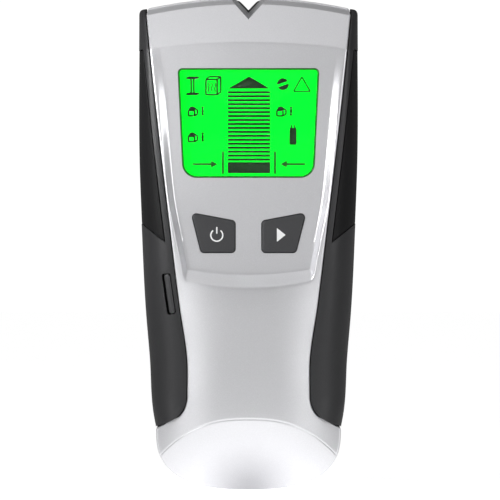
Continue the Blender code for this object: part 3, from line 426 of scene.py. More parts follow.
    def silver_half(self) -> Array:
        """Half of the silver cover's outline: chin, shoulder, flank, rounded corner and top edge.

        Returns:
            Points from the middle of its foot up its right side to the middle of its top.
        """
        shoulder = bezier((30.5, 21.2), (20.9, 23.6), (20.3, 31.0), 30)
        height = np.linspace(31.8, 158.2, 130)
        flank = np.stack((along(self.silver, height), height), axis=1)
        corner = bezier((34.0, 158.9), (34.0, 160.4), (33.2, self.top_edge(33.2)), 7)
        return np.vstack((self.chin_quarter(), shoulder, flank, corner, self.top_half(33.2)[1:]))

    def outer_half(self) -> Array:
        """Half of the whole tool's outline: chin, flank, rounded corner and top edge.

        Returns:
            Points from the middle of its foot up its right side to the middle of its top.
        """
        height = np.linspace(21.5, 158.0, 130)
        flank = np.stack((along(self.outer, height), height), axis=1)
        corner = bezier((36.48, 158.4), (36.4, 160.3), (34.4, self.top_edge(34.4)), 10)
        return np.vstack((self.chin_quarter(), flank, corner, self.top_half(34.4)[1:]))

    def top_edge(self, x: Array) -> Array:
        """Height of the top edge, an arc."""
        return self.length - x**2 / (2 * self.top_radius)

    def top_half(self, start: float) -> Array:
        """The top edge from a distance on the right to the middle."""
        x = np.linspace(start, 0, 60)
        return np.stack((x, self.top_edge(x)), axis=1)


SHAPE = ToolShape()


# ------------------------------------------------------------------ outlines


def bezier(start: tuple, pull: tuple, end: tuple, count: int) -> Array:
    """Points on a quadratic Bezier curve: (1 - t)^2 start + 2t(1 - t) pull + t^2 end."""
    t = np.linspace(0, 1, count)[:, None]
    return (1 - t) ** 2 * np.array(start) + 2 * t * (1 - t) * np.array(pull) + t**2 * np.array(end)


def mirrored(half: Array) -> Array:
    """A whole outline, anticlockwise, from its right half, which starts and ends on the middle line."""
    left = half[::-1] * (-1, 1)
    return np.vstack((half, left[(left[:, 0] < -0.01)]))


def inset(outline: Array, distance: float, trim: bool = False) -> Array:
    """Moves an anticlockwise outline inwards along its corner normals, or outwards by a negative distance.

    Args:
        outline: The points, (n, 2).
        distance: How far each edge moves.
        trim: Leaves out points that end up nearer to the first outline than the distance.

    Returns:
        The moved points.
    """
    before = outline - np.roll(outline, 1, axis=0)
    after = np.roll(outline, -1, axis=0) - outline
    ahead = after / np.linalg.norm(after, axis=1)[:, None]
    mean = before / np.linalg.norm(before, axis=1)[:, None] + ahead
    normal = np.stack((-mean[:, 1], mean[:, 0]), axis=1)
    normal /= np.linalg.norm(normal, axis=1)[:, None]
    mitre = np.clip(np.sum(normal * np.stack((-ahead[:, 1], ahead[:, 0]), axis=1), axis=1), 0.5, 1)
    moved = outline + normal * (distance / mitre)[:, None]
    if trim:
        reach = moved[:, None, :] - outline[None, :, :]
        share = np.clip(np.sum(reach * after, axis=2) / np.sum(after * after, axis=1), 0, 1)
        gap = np.linalg.norm(reach - share[:, :, None] * after, axis=2).min(axis=1)
        moved = moved[gap > 0.97 * abs(distance)]
    return moved


def rounded(corners: Array, radii: tuple, steps: int = 10) -> Array:
    """A convex anticlockwise polygon with an arc of its own radius at each corner.

    Each arc's centre lies on the corner's bisector, radius / sin(half angle) from the corner.

    Args:
        corners: The sharp corners, (n, 2).
        radii: One radius for each corner.
        steps: How many steps each arc has.

    Returns:
        The outline's points.
    """
    corners = np.array(corners, dtype=float)
    back = np.roll(corners, 1, axis=0) - corners
    ahead = np.roll(corners, -1, axis=0) - corners
    back /= np.linalg.norm(back, axis=1)[:, None]
    ahead /= np.linalg.norm(ahead, axis=1)[:, None]
    half = np.arccos(np.clip(np.sum(back * ahead, axis=1), -1, 1)) / 2
    bisector = back + ahead
    bisector /= np.linalg.norm(bisector, axis=1)[:, None]
    radius = np.array(radii, dtype=float)
    centre = corners + bisector * (radius / np.sin(half))[:, None]
    first = corners + back * (radius / np.tan(half))[:, None] - centre
    turn = (math.pi - 2 * half)[:, None] * np.linspace(0, 1, steps + 1)
    x = first[:, :1] * np.cos(turn) - first[:, 1:] * np.sin(turn)
    y = first[:, :1] * np.sin(turn) + first[:, 1:] * np.cos(turn)
    return (centre[:, None, :] + np.stack((x, y), axis=-1)).reshape(-1, 2)


def rectangle(half_x: float, low: float, high: float, radius: float, middle: float = 0.0) -> Array:
    """An anticlockwise rectangle with round corners, half_x to each side of middle."""
    left, right = middle - half_x, middle + half_x
    return rounded([(left, low), (right, low), (right, high), (left, high)], (radius,) * 4, 8)


def circle(centre: tuple, radius: float, sides: int = 40) -> Array:
    """An anticlockwise round outline."""
    turn = np.linspace(0, 2 * math.pi, sides, endpoint=False)
    return np.array(centre) + radius * np.stack((np.cos(turn), np.sin(turn)), axis=1)


def resampled(outline: Array, count: int) -> Array:
    """Spaces a closed outline's points evenly along its length.

    Args:
        outline: The points, (n, 2).
        count: How many points there are afterwards.

    Returns:
        The new points, on the old outline.
    """
    closed = np.vstack((outline, outline[:1]))
    run = np.concatenate(([0], np.cumsum(np.linalg.norm(np.diff(closed, axis=0), axis=1))))
    at = np.linspace(0, run[-1], count, endpoint=False)
    return np.stack((np.interp(at, run, closed[:, 0]), np.interp(at, run, closed[:, 1])), axis=1)


# ------------------------------------------------------------------ meshes


@dataclass(frozen=True)
class Placement:
    """A local frame in the tool: an origin and three axes, in millimetres (x, height, depth)."""

    origin: tuple = (0.0, 0.0, 0.0)
    axes: tuple = ((1.0, 0.0, 0.0), (0.0, 1.0, 0.0), (0.0, 0.0, 1.0))

    def at(self, points: Array) -> Array:
        """Row-frame positions in metres of local points in millimetres."""
        tool = np.array(self.origin) + np.asarray(points) @ np.array(self.axes)
        return np.stack((tool[..., 0], -tool[..., 2], tool[..., 1] - ORIGIN_HEIGHT), axis=-1) * MM


TILT = math.atan(SHAPE.panel_rise)
TOOL = Placement()
PANEL = Placement(
    (0.0, SHAPE.panel_centre, float(SHAPE.panel_face(0.0, SHAPE.panel_centre))),
    ((1.0, 0.0, 0.0), (0.0, math.cos(TILT), math.sin(TILT)), (0.0, -math.sin(TILT), math.cos(TILT))),
)
DOOR = Placement((0.0, 22.0, 0.6))


def on_left_grip(x: float, height: float) -> Placement:
    """A local frame on the left grip, with its second axis along the silver edge and its third one outwards.

    The surface's slopes are differences over a millimetre.

    Args:
        x: Distance from the middle, negative.
        height: Height up the tool.

    Returns:
        The frame.
    """
    step = 0.5
    across = (SHAPE.grip(x + step, height) - SHAPE.grip(x - step, height)) / (2 * step)
    up = (SHAPE.grip(x, height + step) - SHAPE.grip(x, height - step)) / (2 * step)
    lean = (along(SHAPE.silver, height + step) - along(SHAPE.silver, height - step)) / (2 * step)
    normal = np.array((-across, -up, 1.0))
    normal /= np.linalg.norm(normal)
    tangent = np.array((-lean, 1.0, 0.0))
    tangent -= normal * (tangent @ normal)
    tangent /= np.linalg.norm(tangent)
    origin = (x, height, float(SHAPE.grip(x, height)))
    return Placement(origin, (np.cross(tangent, normal), tangent, normal))


SIDE_KEY = on_left_grip(-26.1, 65.6)


def grid_faces(index: Array) -> Array:
    """The quads between the neighbours of a grid of indices, anticlockwise."""
    corners = (index[:-1, :-1], index[:-1, 1:], index[1:, 1:], index[1:, :-1])
    return np.stack(corners, axis=-1).reshape(-1, 4)


def grid_rim(index: Array) -> Array:
    """The indices round a grid's edge, anticlockwise."""
    return np.concatenate((index[0, :-1], index[:-1, -1], index[-1, :0:-1], index[:0:-1, 0]))


class Piece:
    """A mesh in the making: points in a local frame, faces, and then a finished object at the origin."""

    def __init__(self, name: str, placement: Placement = TOOL) -> None:
        """Starts an empty piece.

        Args:
            name: The object's name.
            placement: The local frame its points are in.
        """
        self.name = name
        self.placement = placement
        self.points: list[Array] = []
        self.faces: list = []
        self.count = 0

    def add(self, points: Array, faces: list) -> "Piece":
        """Adds points and the faces between them.

        Args:
            points: (n, 3) positions in the local frame.
            faces: Lists of indices, counted from the first of these points.

        Returns:
            The piece itself.
        """
        start = self.count
        self.points.append(np.asarray(points, dtype=float).reshape(-1, 3))
        self.count += len(self.points[-1])
        if isinstance(faces, np.ndarray):
            self.faces.extend((faces + start).tolist())
        else:
            self.faces.extend([[index + start for index in face] for face in faces])
        return self

    def loft(self, rings: Array) -> "Piece":
        """Adds a closed body through anticlockwise rings from low to high, closed by a fan at each end.

        Args:
            rings: (rings, points, 3) positions.

        Returns:
            The piece itself.
        """
        count, size, _ = rings.shape
        index = np.arange(count * size).reshape(count, size)
        ahead = np.roll(index, -1, axis=1)
        quads = np.stack((index[:-1], ahead[:-1], ahead[1:], index[1:]), axis=-1).reshape(-1, 4)
        foot, top = count * size, count * size + 1
        below = np.stack((np.full(size, foot), ahead[0], index[0]), axis=-1)
        above = np.stack((np.full(size, top), index[-1], ahead[-1]), axis=-1)
        points = np.vstack((rings.reshape(-1, 3), rings[0].mean(axis=0), rings[-1].mean(axis=0)))
        return self.add(points, [*quads.tolist(), *below.tolist(), *above.tolist()])

    def slab(
        self, outline: Array, low: float, high: float, edges: tuple = (0.0, 0.0), crown: float = 0.0
    ) -> "Piece":
        """Adds a plate with rounded edges and a crowned top.

        The rings follow a quarter circle at each edge: inset r(1 - sin t) at height r(1 - cos t). The top
        then shrinks towards its middle with factor s and rises by crown(1 - s^2).

        Args:
            outline: The plate's anticlockwise edge.
            low: Its lower face.
            high: Its upper face at the edge.
            edges: The radii of the lower and the upper edge.
            crown: How much higher the middle of the top is.

        Returns:
            The piece itself.
        """
        turn = np.linspace(0, math.pi / 2, 6)
        levels = [(0.0, low)] if not edges[0] else []
        if edges[0]:
            levels += list(zip(edges[0] * (1 - np.sin(turn)), low + edges[0] * (1 - np.cos(turn))))
        if edges[1]:
            levels += list(zip(edges[1] * (1 - np.cos(turn)), high - edges[1] * (1 - np.sin(turn))))
        else:
            levels.append((0.0, high))
        rings = [level_ring(inset(outline, margin), depth) for margin, depth in levels]
        middle = rings[-1].mean(axis=0)
        for share in (0.92, 0.75, 0.5, 0.25):
            ring = middle + (rings[len(levels) - 1] - middle) * share
            ring[:, 2] = high + crown * (1 - share**2)
            rings.append(ring)
        return self.loft(np.array(rings))

    def flat(self, outline: Array, low: float, high: float) -> "Piece":
        """Adds a flat-ended prism over an anticlockwise outline of any shape.

        Args:
            outline: Its edge, (n, 2).
            low: Its lower end.
            high: Its upper end.

        Returns:
            The piece itself.
        """
        size = len(outline)
        index = np.arange(size)
        ahead = np.roll(index, -1)
        sides = np.stack((index, ahead, ahead + size, index + size), axis=-1)
        points = np.vstack((level_ring(outline, low), level_ring(outline, high)))
        return self.add(points, [*sides.tolist(), index[::-1].tolist(), (index + size).tolist()])

    def sheet(self, front: Array, back: Array) -> "Piece":
        """Adds a closed body between two grids of the same shape, stitched together along their edges.

        Args:
            front: (rows, columns, 3) positions of one side.
            back: The same for the other side.

        Returns:
            The piece itself.
        """
        rows, columns, _ = front.shape
        index = np.arange(rows * columns).reshape(rows, columns)
        quads = grid_faces(index)
        loop = grid_rim(index)
        other = loop + rows * columns
        sides = np.stack((other, np.roll(other, -1), np.roll(loop, -1), loop), axis=-1)
        faces = np.vstack((quads, quads[:, ::-1] + rows * columns, sides))
        return self.add(np.concatenate((front.reshape(-1, 3), back.reshape(-1, 3))), faces)

    def build(self) -> bpy.types.Object:
        """Makes the object, with its doubles merged and its place in its mesh."""
        mesh = bpy.data.meshes.new(self.name)
        mesh.from_pydata(self.placement.at(np.vstack(self.points)).tolist(), [], self.faces)
        shape = bmesh.new()
        shape.from_mesh(mesh)
        bmesh.ops.remove_doubles(shape, verts=shape.verts, dist=2e-6)
        bmesh.ops.recalc_face_normals(shape, faces=shape.faces)
        shape.to_mesh(mesh)
        shape.free()
        made = bpy.data.objects.new(self.name, mesh)
        bpy.context.scene.collection.objects.link(made)
        return made


def level_ring(outline: Array, depth: float) -> Array:
    """An outline's points at one depth."""
    return np.column_stack((outline, np.full(len(outline), depth)))


def carve(piece: bpy.types.Object, tools: list, cut: Cut = Cut.AWAY) -> bpy.types.Object:
    """Cuts a closed piece with closed tools, one after another, and removes the tools.

    Args:
        piece: The object whose mesh is changed.
        tools: The objects that cut it.
        cut: What each tool does to the piece.

    Returns:
        The piece.
    """
    for tool in tools:
        boolean = piece.modifiers.new("cut", "BOOLEAN")
        boolean.operation = cut.value
        boolean.solver = "EXACT"
        boolean.object = tool
    graph = bpy.context.evaluated_depsgraph_get()
    mesh = bpy.data.meshes.new_from_object(piece.evaluated_get(graph))
    old = piece.data
    piece.modifiers.clear()
    piece.data = mesh
    bpy.data.meshes.remove(old)
    mesh.name = piece.name
    for tool in tools:
        bpy.data.meshes.remove(tool.data)
    return piece


def dress(
    piece: bpy.types.Object,
    finish: Finish,
    body: Body,
    replaces: tuple = (),
    angle: float = 35.0,
) -> bpy.types.Object:
    """Gives a piece its finish and smooth shading, and fixes it to its CAD body.

    Args:
        piece: The finished mesh object.
        finish: Its surface.
        body: The CAD body it moves with.
        replaces: The CAD nodes that it stands for.
        angle: Edges sharper than this many degrees stay sharp.

    Returns:
        The piece.
    """
    piece.data.materials.clear()
    piece.data.materials.append(finish.material())
    piece.data.shade_smooth()
    piece.data.set_sharp_from_angle(angle=math.radians(angle))
    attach(piece, body.value)
    if replaces:
        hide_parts(*replaces)
    LOG.info("%s: %d faces on %s", piece.name, len(piece.data.polygons), body.value)
    return piece


# ------------------------------------------------------------------ silver front cover


def eased(start: float, end: float, count: int) -> Array:
    """Values from start to end that lie closer together at both ends: a half cosine wave."""
    return start + (end - start) * 0.5 * (1 - np.cos(np.linspace(0, math.pi, count)))


@dataclass(frozen=True)
class FrontCover:
    """The silver cover: one sculpted skin with its chin, sunk panel, openings and pencil notch."""

    edge_radius: float = 0.55
    wall: float = 1.9
    level: float = 43.0
    upright_top: float = 158.0
    top_corner: float = 33.2
    window_half: tuple = (23.2, 21.5)
    window_span: tuple = (104.3, 140.0)
    button_corners: tuple = ((4.5, 79.3), (15.6, 79.3), (18.9, 92.3), (4.5, 89.6))

    def window_outline(self, grow: float = 0.0) -> Array:
        """The display opening in the panel's frame: slightly tapered, rounder at its lower corners.

        Args:
            grow: How much larger it is on every side.

        Returns:
            Its outline.
        """
        low, high = (height - SHAPE.panel_centre for height in self.window_span)
        top, foot = self.window_half
        corners = [(-foot, low), (foot, low), (top, high), (-top, high)]
        return inset(rounded(corners, (4.5, 4.5, 1.3, 1.3)), -grow)

    def button_outline(self, side: int, grow: float = 0.0) -> Array:
        """A button's outline in the panel's frame.

        Args:
            side: -1 for the left button, 1 for the right one.
            grow: How much larger it is on every side.

        Returns:
            Its outline.
        """
        corners = np.array(self.button_corners) - (0, SHAPE.panel_centre)
        if side < 0:
            corners = (corners * (-1, 1))[::-1]
        return inset(rounded(corners, (1.2,) * 4), -grow)

    def grid(self, margin: float, detail: float) -> tuple[Array, Array]:
        """The face's grid, whose rows lie along the seam, the panel's foot, the crest and the band.

        Each row's height is centre + (edge - centre)(x / edge x)^k, and the columns keep to the bevel.
        Below the seam the rows run from the seam to the chin line in even shares.

        Args:
            margin: How far inside the cover's outline the grid ends.
            detail: The share of the full number of rows and columns.

        Returns:
            x and height of every grid point, rows from the chin to the top.
        """

        def many(count: int) -> int:
            """How many rows or columns a stretch has at this detail."""
            return max(3, round(count * detail))

        half = SHAPE.silver_half()
        moved = inset(mirrored(half), margin, trim=True)
        right = moved[: int(np.argmax(moved[:, 1])) + 1]
        right = right[right[:, 0] > -1e-6]
        chin_part = right[right[:, 1] < SHAPE.chin_height - 0.5]
        over = chin_part[:, 1] - SHAPE.crease(chin_part[:, 0])
        corner_x = float(np.interp(0.0, over, chin_part[:, 0]))
        corner_y = float(SHAPE.crease(corner_x))
        top = SHAPE.length - margin
        seam, level, foot, crest, band = SHAPE.seam, self.level, SHAPE.panel_foot, SHAPE.crest, SHAPE.band
        bevel_foot = foot - SHAPE.panel_bevel
        centre = np.concatenate(
            (
                seam + (level - seam) * np.linspace(0, 1, many(56)) ** 1.15,
                np.linspace(level, bevel_foot, many(40))[1:],
                eased(bevel_foot, foot, many(16))[1:],
                eased(foot, crest, many(96))[1:],
                eased(crest, band, many(26))[1:],
                eased(band, top, many(10))[1:],
            )
        )
        low_part = centre <= level
        bows = (0, SHAPE.panel_foot_bow, SHAPE.panel_foot_bow, -SHAPE.crest_bow, -0.5 / SHAPE.top_radius)
        bow = np.interp(centre, (level, bevel_foot, foot, crest, band), bows)
        edge = centre.copy()
        for _ in range(6):
            reach = np.interp(np.minimum(edge, self.upright_top), right[:, 1], right[:, 0])
            edge = centre + bow * reach**2
        rise = ((centre - seam) / (level - seam))[low_part]
        edge[low_part] = corner_y + (level - corner_y) * rise
        power = np.full(len(centre), 2.0)
        power[low_part] = SHAPE.chin_spread - (SHAPE.chin_spread - 2) * rise
        width = np.interp(edge, right[:, 1], right[:, 0])
        width[0] = corner_x
        lip = centre >= band
        lift = (centre[lip] - band) / (top - band)
        width[lip] = width[lip][0] + (self.top_corner - 0.6 * margin - width[lip][0]) * lift
        edge[lip] = centre[lip] - width[lip] ** 2 / (2 * SHAPE.top_radius)

        inner, bevel, rim = many(30), many(9), many(14)
        share_in = np.linspace(0, 1, inner + 1)
        share_bevel = eased(0, 1, bevel + 1)[1:]
        share_rim = 1 - np.linspace(1, 0, rim + 1)[1:] ** 1.6
        start = SHAPE.bevel_start
        x = np.repeat(width[:, None] * 0.5, inner + bevel + rim + 1, axis=1)
        for _ in range(5):
            y = centre[:, None] + (edge - centre)[:, None] * (x / width[:, None]) ** power[:, None]
            at = np.minimum(along(SHAPE.panel, y), width[:, None] - 1.0 + 0.8 * (y > 120))
            x = np.hstack(
                (
                    start * at[:, : inner + 1] * share_in,
                    at[:, inner + 1 : inner + bevel + 1] * (start + (1 - start) * share_bevel),
                    at[:, inner + bevel + 1 :] + (width[:, None] - at[:, inner + bevel + 1 :]) * share_rim,
                )
            )
        y = centre[:, None] + (edge - centre)[:, None] * (x / width[:, None]) ** power[:, None]
        roll = 1 - eased(0, 1, many(34))[:-1]
        low_line = np.interp(x[0], chin_part[:, 0], chin_part[:, 1])
        low_y = y[0] * (1 - roll[:, None]) + low_line * roll[:, None]
        x = np.vstack((np.repeat(x[:1], len(roll), axis=0), x))
        y = np.vstack((low_y, y))
        return np.hstack((-x[:, :0:-1], x)), np.hstack((y[:, :0:-1], y))

    def block(
        self, name: str, margin: float, sink: float, floor: float, detail: float, radius: float
    ) -> Piece:
        """A closed block under the face: the grid, a rounded edge, an upright wall and a flat base.

        The rounded edge is a quarter circle: outwards r sin t and down r(1 - cos t).

        Args:
            name: The piece's name.
            margin: How far inside the outline its wall stands.
            sink: How far below the face its top lies.
            floor: The depth of its base.
            detail: The share of the full number of rows and columns.
            radius: The rounded edge's radius.

        Returns:
            The piece, not built yet.
        """
        x, y = self.grid(margin + radius, detail)
        rows, columns = x.shape
        depth = SHAPE.face(x, y) - sink
        index = np.arange(rows * columns).reshape(rows, columns)
        first = int(np.argmax(y[:, -1] > y[0, -1] + 0.01))
        up, over, down = index[first:, -1], index[-1, -2::-1], index[-2 : first - 1 : -1, 0]
        loop = np.concatenate((index[0], up, over, down))
        top = np.stack((x, y, depth), axis=-1).reshape(-1, 3)
        quads = grid_faces(index)
        edge = top[loop]
        tangent = np.roll(edge[:, :2], -1, axis=0) - np.roll(edge[:, :2], 1, axis=0)
        tangent /= np.linalg.norm(tangent, axis=1)[:, None]
        outward = np.stack((tangent[:, 1], -tangent[:, 0]), axis=1)
        rings = []
        for turn in np.linspace(0, math.pi / 2, 6)[1:] if radius else ():
            ring = edge.copy()
            ring[:, :2] += outward * radius * math.sin(turn)
            ring[:, 2] -= radius * (1 - math.cos(turn))
            rings.append(ring)
        base = (rings[-1] if rings else edge).copy()
        base[:, 2] = floor
        rings.append(base)
        size = len(loop)
        ring_index = rows * columns + np.arange(len(rings) * size).reshape(-1, size)
        ring_index = np.vstack((loop, ring_index))
        ahead = np.roll(ring_index, -1, axis=1)
        walls = np.stack((ring_index[1:], ahead[1:], ahead[:-1], ring_index[:-1]), axis=-1).reshape(-1, 4)
        points = np.vstack((top, *rings))
        return Piece(name).add(points, [*quads.tolist(), *walls.tolist(), ring_index[-1][::-1].tolist()])

    def build(self, notch: Piece) -> bpy.types.Object:
        """Makes the cover: the fine block, hollowed by a coarse one, with its openings and notch cut out.

        Args:
            notch: The pencil notch's cutter.

        Returns:
            The dressed cover.
        """
        parting = SHAPE.parting + SHAPE.clearance
        cover = self.block("silver_cover", 0.0, 0.0, parting, 1.0, self.edge_radius).build()
        hollow = self.block("hollow", self.wall, self.wall, -3.0, 0.3, 0.0).build()
        carve(hollow, [notch_relief().build()])
        openings = Piece("openings", PANEL).slab(self.window_outline(SHAPE.clearance), -3, 3)
        for side in (-1, 1):
            openings.slab(self.button_outline(side, SHAPE.clearance), -3, 4)
        carve(cover, [hollow, openings.build(), notch.build()])
        return dress(cover, SILVER, Body.CASE, ("front_cover",), 32)


ABOVE_THE_TOP = 172.0


def notch_wedge() -> Piece:
    """The pencil notch's cutter: a V whose valley climbs towards the wall.

    Returns:
        The wedge, lofted from its section behind the wall plane to the one in front of the face.
    """
    sections = []
    for depth, valley in ((-2.0, 161.5), (32.0, 155.1)):
        reach = (ABOVE_THE_TOP - valley) * 0.95
        right, left = (reach, ABOVE_THE_TOP, depth), (-reach, ABOVE_THE_TOP, depth)
        sections.append(((0.0, valley, depth), right, left))
    return Piece("notch").loft(np.array(sections))


def notch_relief() -> Piece:
    """A wider V that keeps the hollows of both covers clear of the notch."""
    corners = [(0, 151), (10, ABOVE_THE_TOP), (-10, ABOVE_THE_TOP)]
    return Piece("relief").slab(rounded(corners, (0.5,) * 3), -5, 40)


# ------------------------------------------------------------------ side grips


@dataclass(frozen=True)
class SideGrip:
    """One side grip: a moulding round the flank with a soft inlay let into its upper part."""

    side: int
    wall: float = 1.8
    inlay_margin: float = 2.1
    inlay_foot: float = 82.3
    inlay_top: float = 146.6
    inlay_rim: float = 9.0
    inlay_sink: float = 1.0
    inlay_slope: float = 0.8
    inlay_radius: float = 0.28

    @property
    def name(self) -> str:
        """The CAD node's name."""
        return "left_grip" if self.side < 0 else "right_grip"

    def block(
        self, name: str, thinner: float, floor: float, low: float, high: float, beyond: bool
    ) -> Piece:
        """A closed block under the grip's surface.

        Across, the share runs as the sine of an even angle, so that the columns gather at the upright rim.

        Args:
            name: The piece's name.
            thinner: How much smaller the surface's half-axes are.
            floor: The depth of its base.
            low: Its lower end.
            high: Its upper end.
            beyond: Whether it reaches outside the outline, where another solid trims it.

        Returns:
            The piece, not built yet.
        """
        turn = np.concatenate(([-12], np.linspace(0, 80, 30), (83, 85.5, 87.5, 89, 90)))
        share = np.sin(np.radians(turn))
        if beyond:
            share = np.append(share, 1.12)
        height = np.linspace(low, high, max(12, round((high - low) / 1.1)))
        y = height[:, None] * np.ones(len(share))
        inner = along(SHAPE.silver, y)
        x = inner + (along(SHAPE.outer, y) - thinner - inner) * share
        depth = SHAPE.grip(x, y, thinner)
        if self.side < 0:
            x, depth = -x[:, ::-1], depth[:, ::-1]
        rows, columns = x.shape
        index = np.arange(rows * columns).reshape(rows, columns)
        quads = grid_faces(index)
        loop = grid_rim(index)
        top = np.stack((x, y, depth), axis=-1).reshape(-1, 3)
        base = top[loop].copy()
        base[:, 2] = floor
        below = rows * columns + np.arange(len(loop))
        walls = np.stack((below, np.roll(below, -1), np.roll(loop, -1), loop), axis=-1)
        faces = [*quads.tolist(), *walls.tolist(), below[::-1].tolist()]
        return Piece(name).add(np.vstack((top, base)), faces)

    def inlay_outline(self) -> Array:
        """The inlay's outline from the front: the outer part of the grip, cut off at a slant below.

        Returns:
            Its outline.
        """
        height = np.linspace(self.inlay_foot, self.inlay_top, 60)
        inner = np.stack((along(SHAPE.silver, height) + self.inlay_margin, height), axis=1)
        outside = 44.5
        slant = self.inlay_foot + self.inlay_slope * (outside - inner[0, 0])
        outline = np.vstack(([(outside, slant), (outside, self.inlay_top)], inner[::-1]))
        return outline if self.side > 0 else (outline * (-1, 1))[::-1]

    def moulding(self) -> bpy.types.Object:
        """Makes the moulding: the block, trimmed to the outline, hollowed and recessed for its inlay.

        Returns:
            The dressed moulding.
        """
        moulding = self.block("grip_" + self.name, 0.0, 3.0, 18.0, 163.0, True).build()
        outline = mirrored(SHAPE.outer_half())
        prism = Piece("prism").flat(outline, SHAPE.parting + SHAPE.clearance, 40.0)
        carve(moulding, [prism.build()], Cut.KEEP)
        recess = Piece("recess").flat(self.inlay_outline(), self.inlay_rim - SHAPE.clearance, 45.0).build()
        carve(recess, [self.block("floor", self.inlay_sink, -4.0, 17.0, 164.0, False).build()])
        inner = inset(mirrored(SHAPE.silver_half()), -SHAPE.clearance, trim=True)
        cuts = [
            self.block("hollow", self.wall, -3.0, 17.0, 146.9, False).build(),
            Piece("inner").flat(inner, -2.0, 42.0).build(),
            recess,
        ]
        if self.side < 0:
            slot = rectangle(1.55, -6.9, 6.9, 0.8, middle=-0.35)
            cuts.append(Piece("slot", SIDE_KEY).slab(slot, -5.0, 4.0).build())
        carve(moulding, cuts)
        return dress(moulding, DARK, Body.CASE, (self.name,), 32)

    def inlay(self) -> bpy.types.Object:
        """Makes the soft inlay as one closed skin that follows the grip.

        Its columns run across the curved face and down the upright flank; its rows follow the slanted foot.
        The skin sinks along its normal near its edges by r - sqrt(r^2 - (r - distance)^2), a quarter circle.

        Returns:
            The dressed inlay.
        """
        gap, radius = SHAPE.clearance, self.inlay_radius
        near = np.array((0.0, 0.02, 0.08, 0.18, 0.4, 0.7, 1.0)) * radius
        top, span = self.inlay_top - gap, self.inlay_top - gap - self.inlay_foot
        share = np.concatenate((near, np.linspace(1.0, span - 1.0, 64), span - near[::-1])) / span
        share = share[:, None]
        turn = np.sin(np.linspace(0, math.pi / 2, 24))[1:]
        rim = SHAPE.grip_rim - self.inlay_rim
        down = np.concatenate((np.linspace(0, rim - radius, 9)[1:], rim - near[::-1][1:]))
        inner_foot = float(along(SHAPE.silver, self.inlay_foot)) + self.inlay_margin
        y = self.inlay_foot + span * share * np.ones(len(near) + len(turn) + len(down))
        for _ in range(6):
            inner = along(SHAPE.silver, y) + self.inlay_margin + gap
            outer = along(SHAPE.outer, y) - 0.1
            reach = outer[:, : len(turn)] - inner[:, : len(turn)] - radius
            x = np.hstack((inner[:, : len(near)] + near, inner[:, : len(turn)] + radius + reach * turn))
            x = np.hstack((x, outer[:, : len(down)]))
            foot = self.inlay_foot + gap + self.inlay_slope * np.clip(x - inner_foot, 0, None)
            y = foot + (top - foot) * share
        depth = SHAPE.grip(x, y, 0.1)
        depth[:, -len(down) :] = SHAPE.grip_rim - down
        skin = np.stack((x * self.side, y, depth), axis=-1)
        normal = np.cross(np.gradient(skin, axis=1), np.gradient(skin, axis=0)) * self.side
        normal /= np.linalg.norm(normal, axis=-1)[..., None]
        rows = np.minimum(share * span, (1 - share) * span)
        fall = SHAPE.grip(x[:, :1], y[:, :1], 0.1) - depth
        columns = np.minimum(x - x[:, :1] + fall, depth - self.inlay_rim)
        short = radius - np.clip(np.minimum(rows, columns), 0, radius)
        sink = radius - np.sqrt(radius**2 - short**2)
        skin -= normal * sink[..., None]
        under = np.stack((x * self.side, y, depth), axis=-1) - normal * 0.6
        inlay = Piece("inlay_" + self.name).sheet(skin, under).build()
        return dress(inlay, RUBBER, Body.CASE, (self.name + "_pad",), 40)


# ------------------------------------------------------------------ rear cover, door and glides


@dataclass(frozen=True)
class RearCover:
    """The dark rear dish with its rolled edge, door opening, glide recesses and screw wells."""

    back: float = 0.6
    inside: float = 2.6
    roll: float = 1.2
    roll_depth: float = 1.9
    edge: float = 0.25
    wall: float = 2.35
    glides: tuple = ((22.3, 145.7, 154.3), (14.3, 7.7, 16.3))
    screws: tuple = ((-27.0, 150.0), (27.0, 150.0), (-21.0, 14.0), (21.0, 14.0))

    def build(self, notch: Piece) -> bpy.types.Object:
        """Makes the dish: rings that follow a quarter ellipse from the back plane to the upright rim.

        Args:
            notch: The pencil notch's cutter.

        Returns:
            The dressed cover.
        """
        outline = inset(mirrored(SHAPE.outer_half()), self.edge)
        rolled = []
        for turn in np.linspace(0, math.pi / 2, 9):
            depth = self.back + self.roll_depth * (1 - math.cos(turn))
            rolled.append(level_ring(inset(outline, self.roll * (1 - math.sin(turn))), depth))
        middle = rolled[0].mean(axis=0)
        rings = [middle + (rolled[0] - middle) * share for share in (0.92, 0.97)] + rolled
        rings.append(level_ring(outline, SHAPE.parting - self.edge))
        rings.append(level_ring(inset(outline, self.edge), SHAPE.parting))
        cover = Piece("rear_dish").loft(np.array(rings)).build()
        room = inset(mirrored(SHAPE.outer_half()), self.wall, trim=True)
        hollow = Piece("hollow").flat(room, self.inside, 12.0).build()
        carve(hollow, [notch_relief().build()])
        door = rectangle(17.3, 21.7, 78.3, 1.5)
        cuts = Piece("cuts").slab(door, -1.0, 3.0)
        for half_x, low, high in self.glides:
            cuts.slab(rectangle(half_x, low, high, 1.5), -1.0, 1.2)
        wells = Piece("wells")
        holes = Piece("holes")
        bosses = Piece("bosses")
        for centre in self.screws:
            bosses.slab(circle(centre, 3.6), 2.0, 5.6)
            wells.slab(circle(centre, 2.5), -1.0, 4.3)
            holes.slab(circle(centre, 1.35), 3.0, 12.0)
        carve(cover, [hollow])
        carve(cover, [bosses.build()], Cut.JOIN)
        carve(cover, [cuts.build(), wells.build(), holes.build(), notch.build()])
        return dress(cover, DARK, Body.CASE, ("rear_cover",), 32)


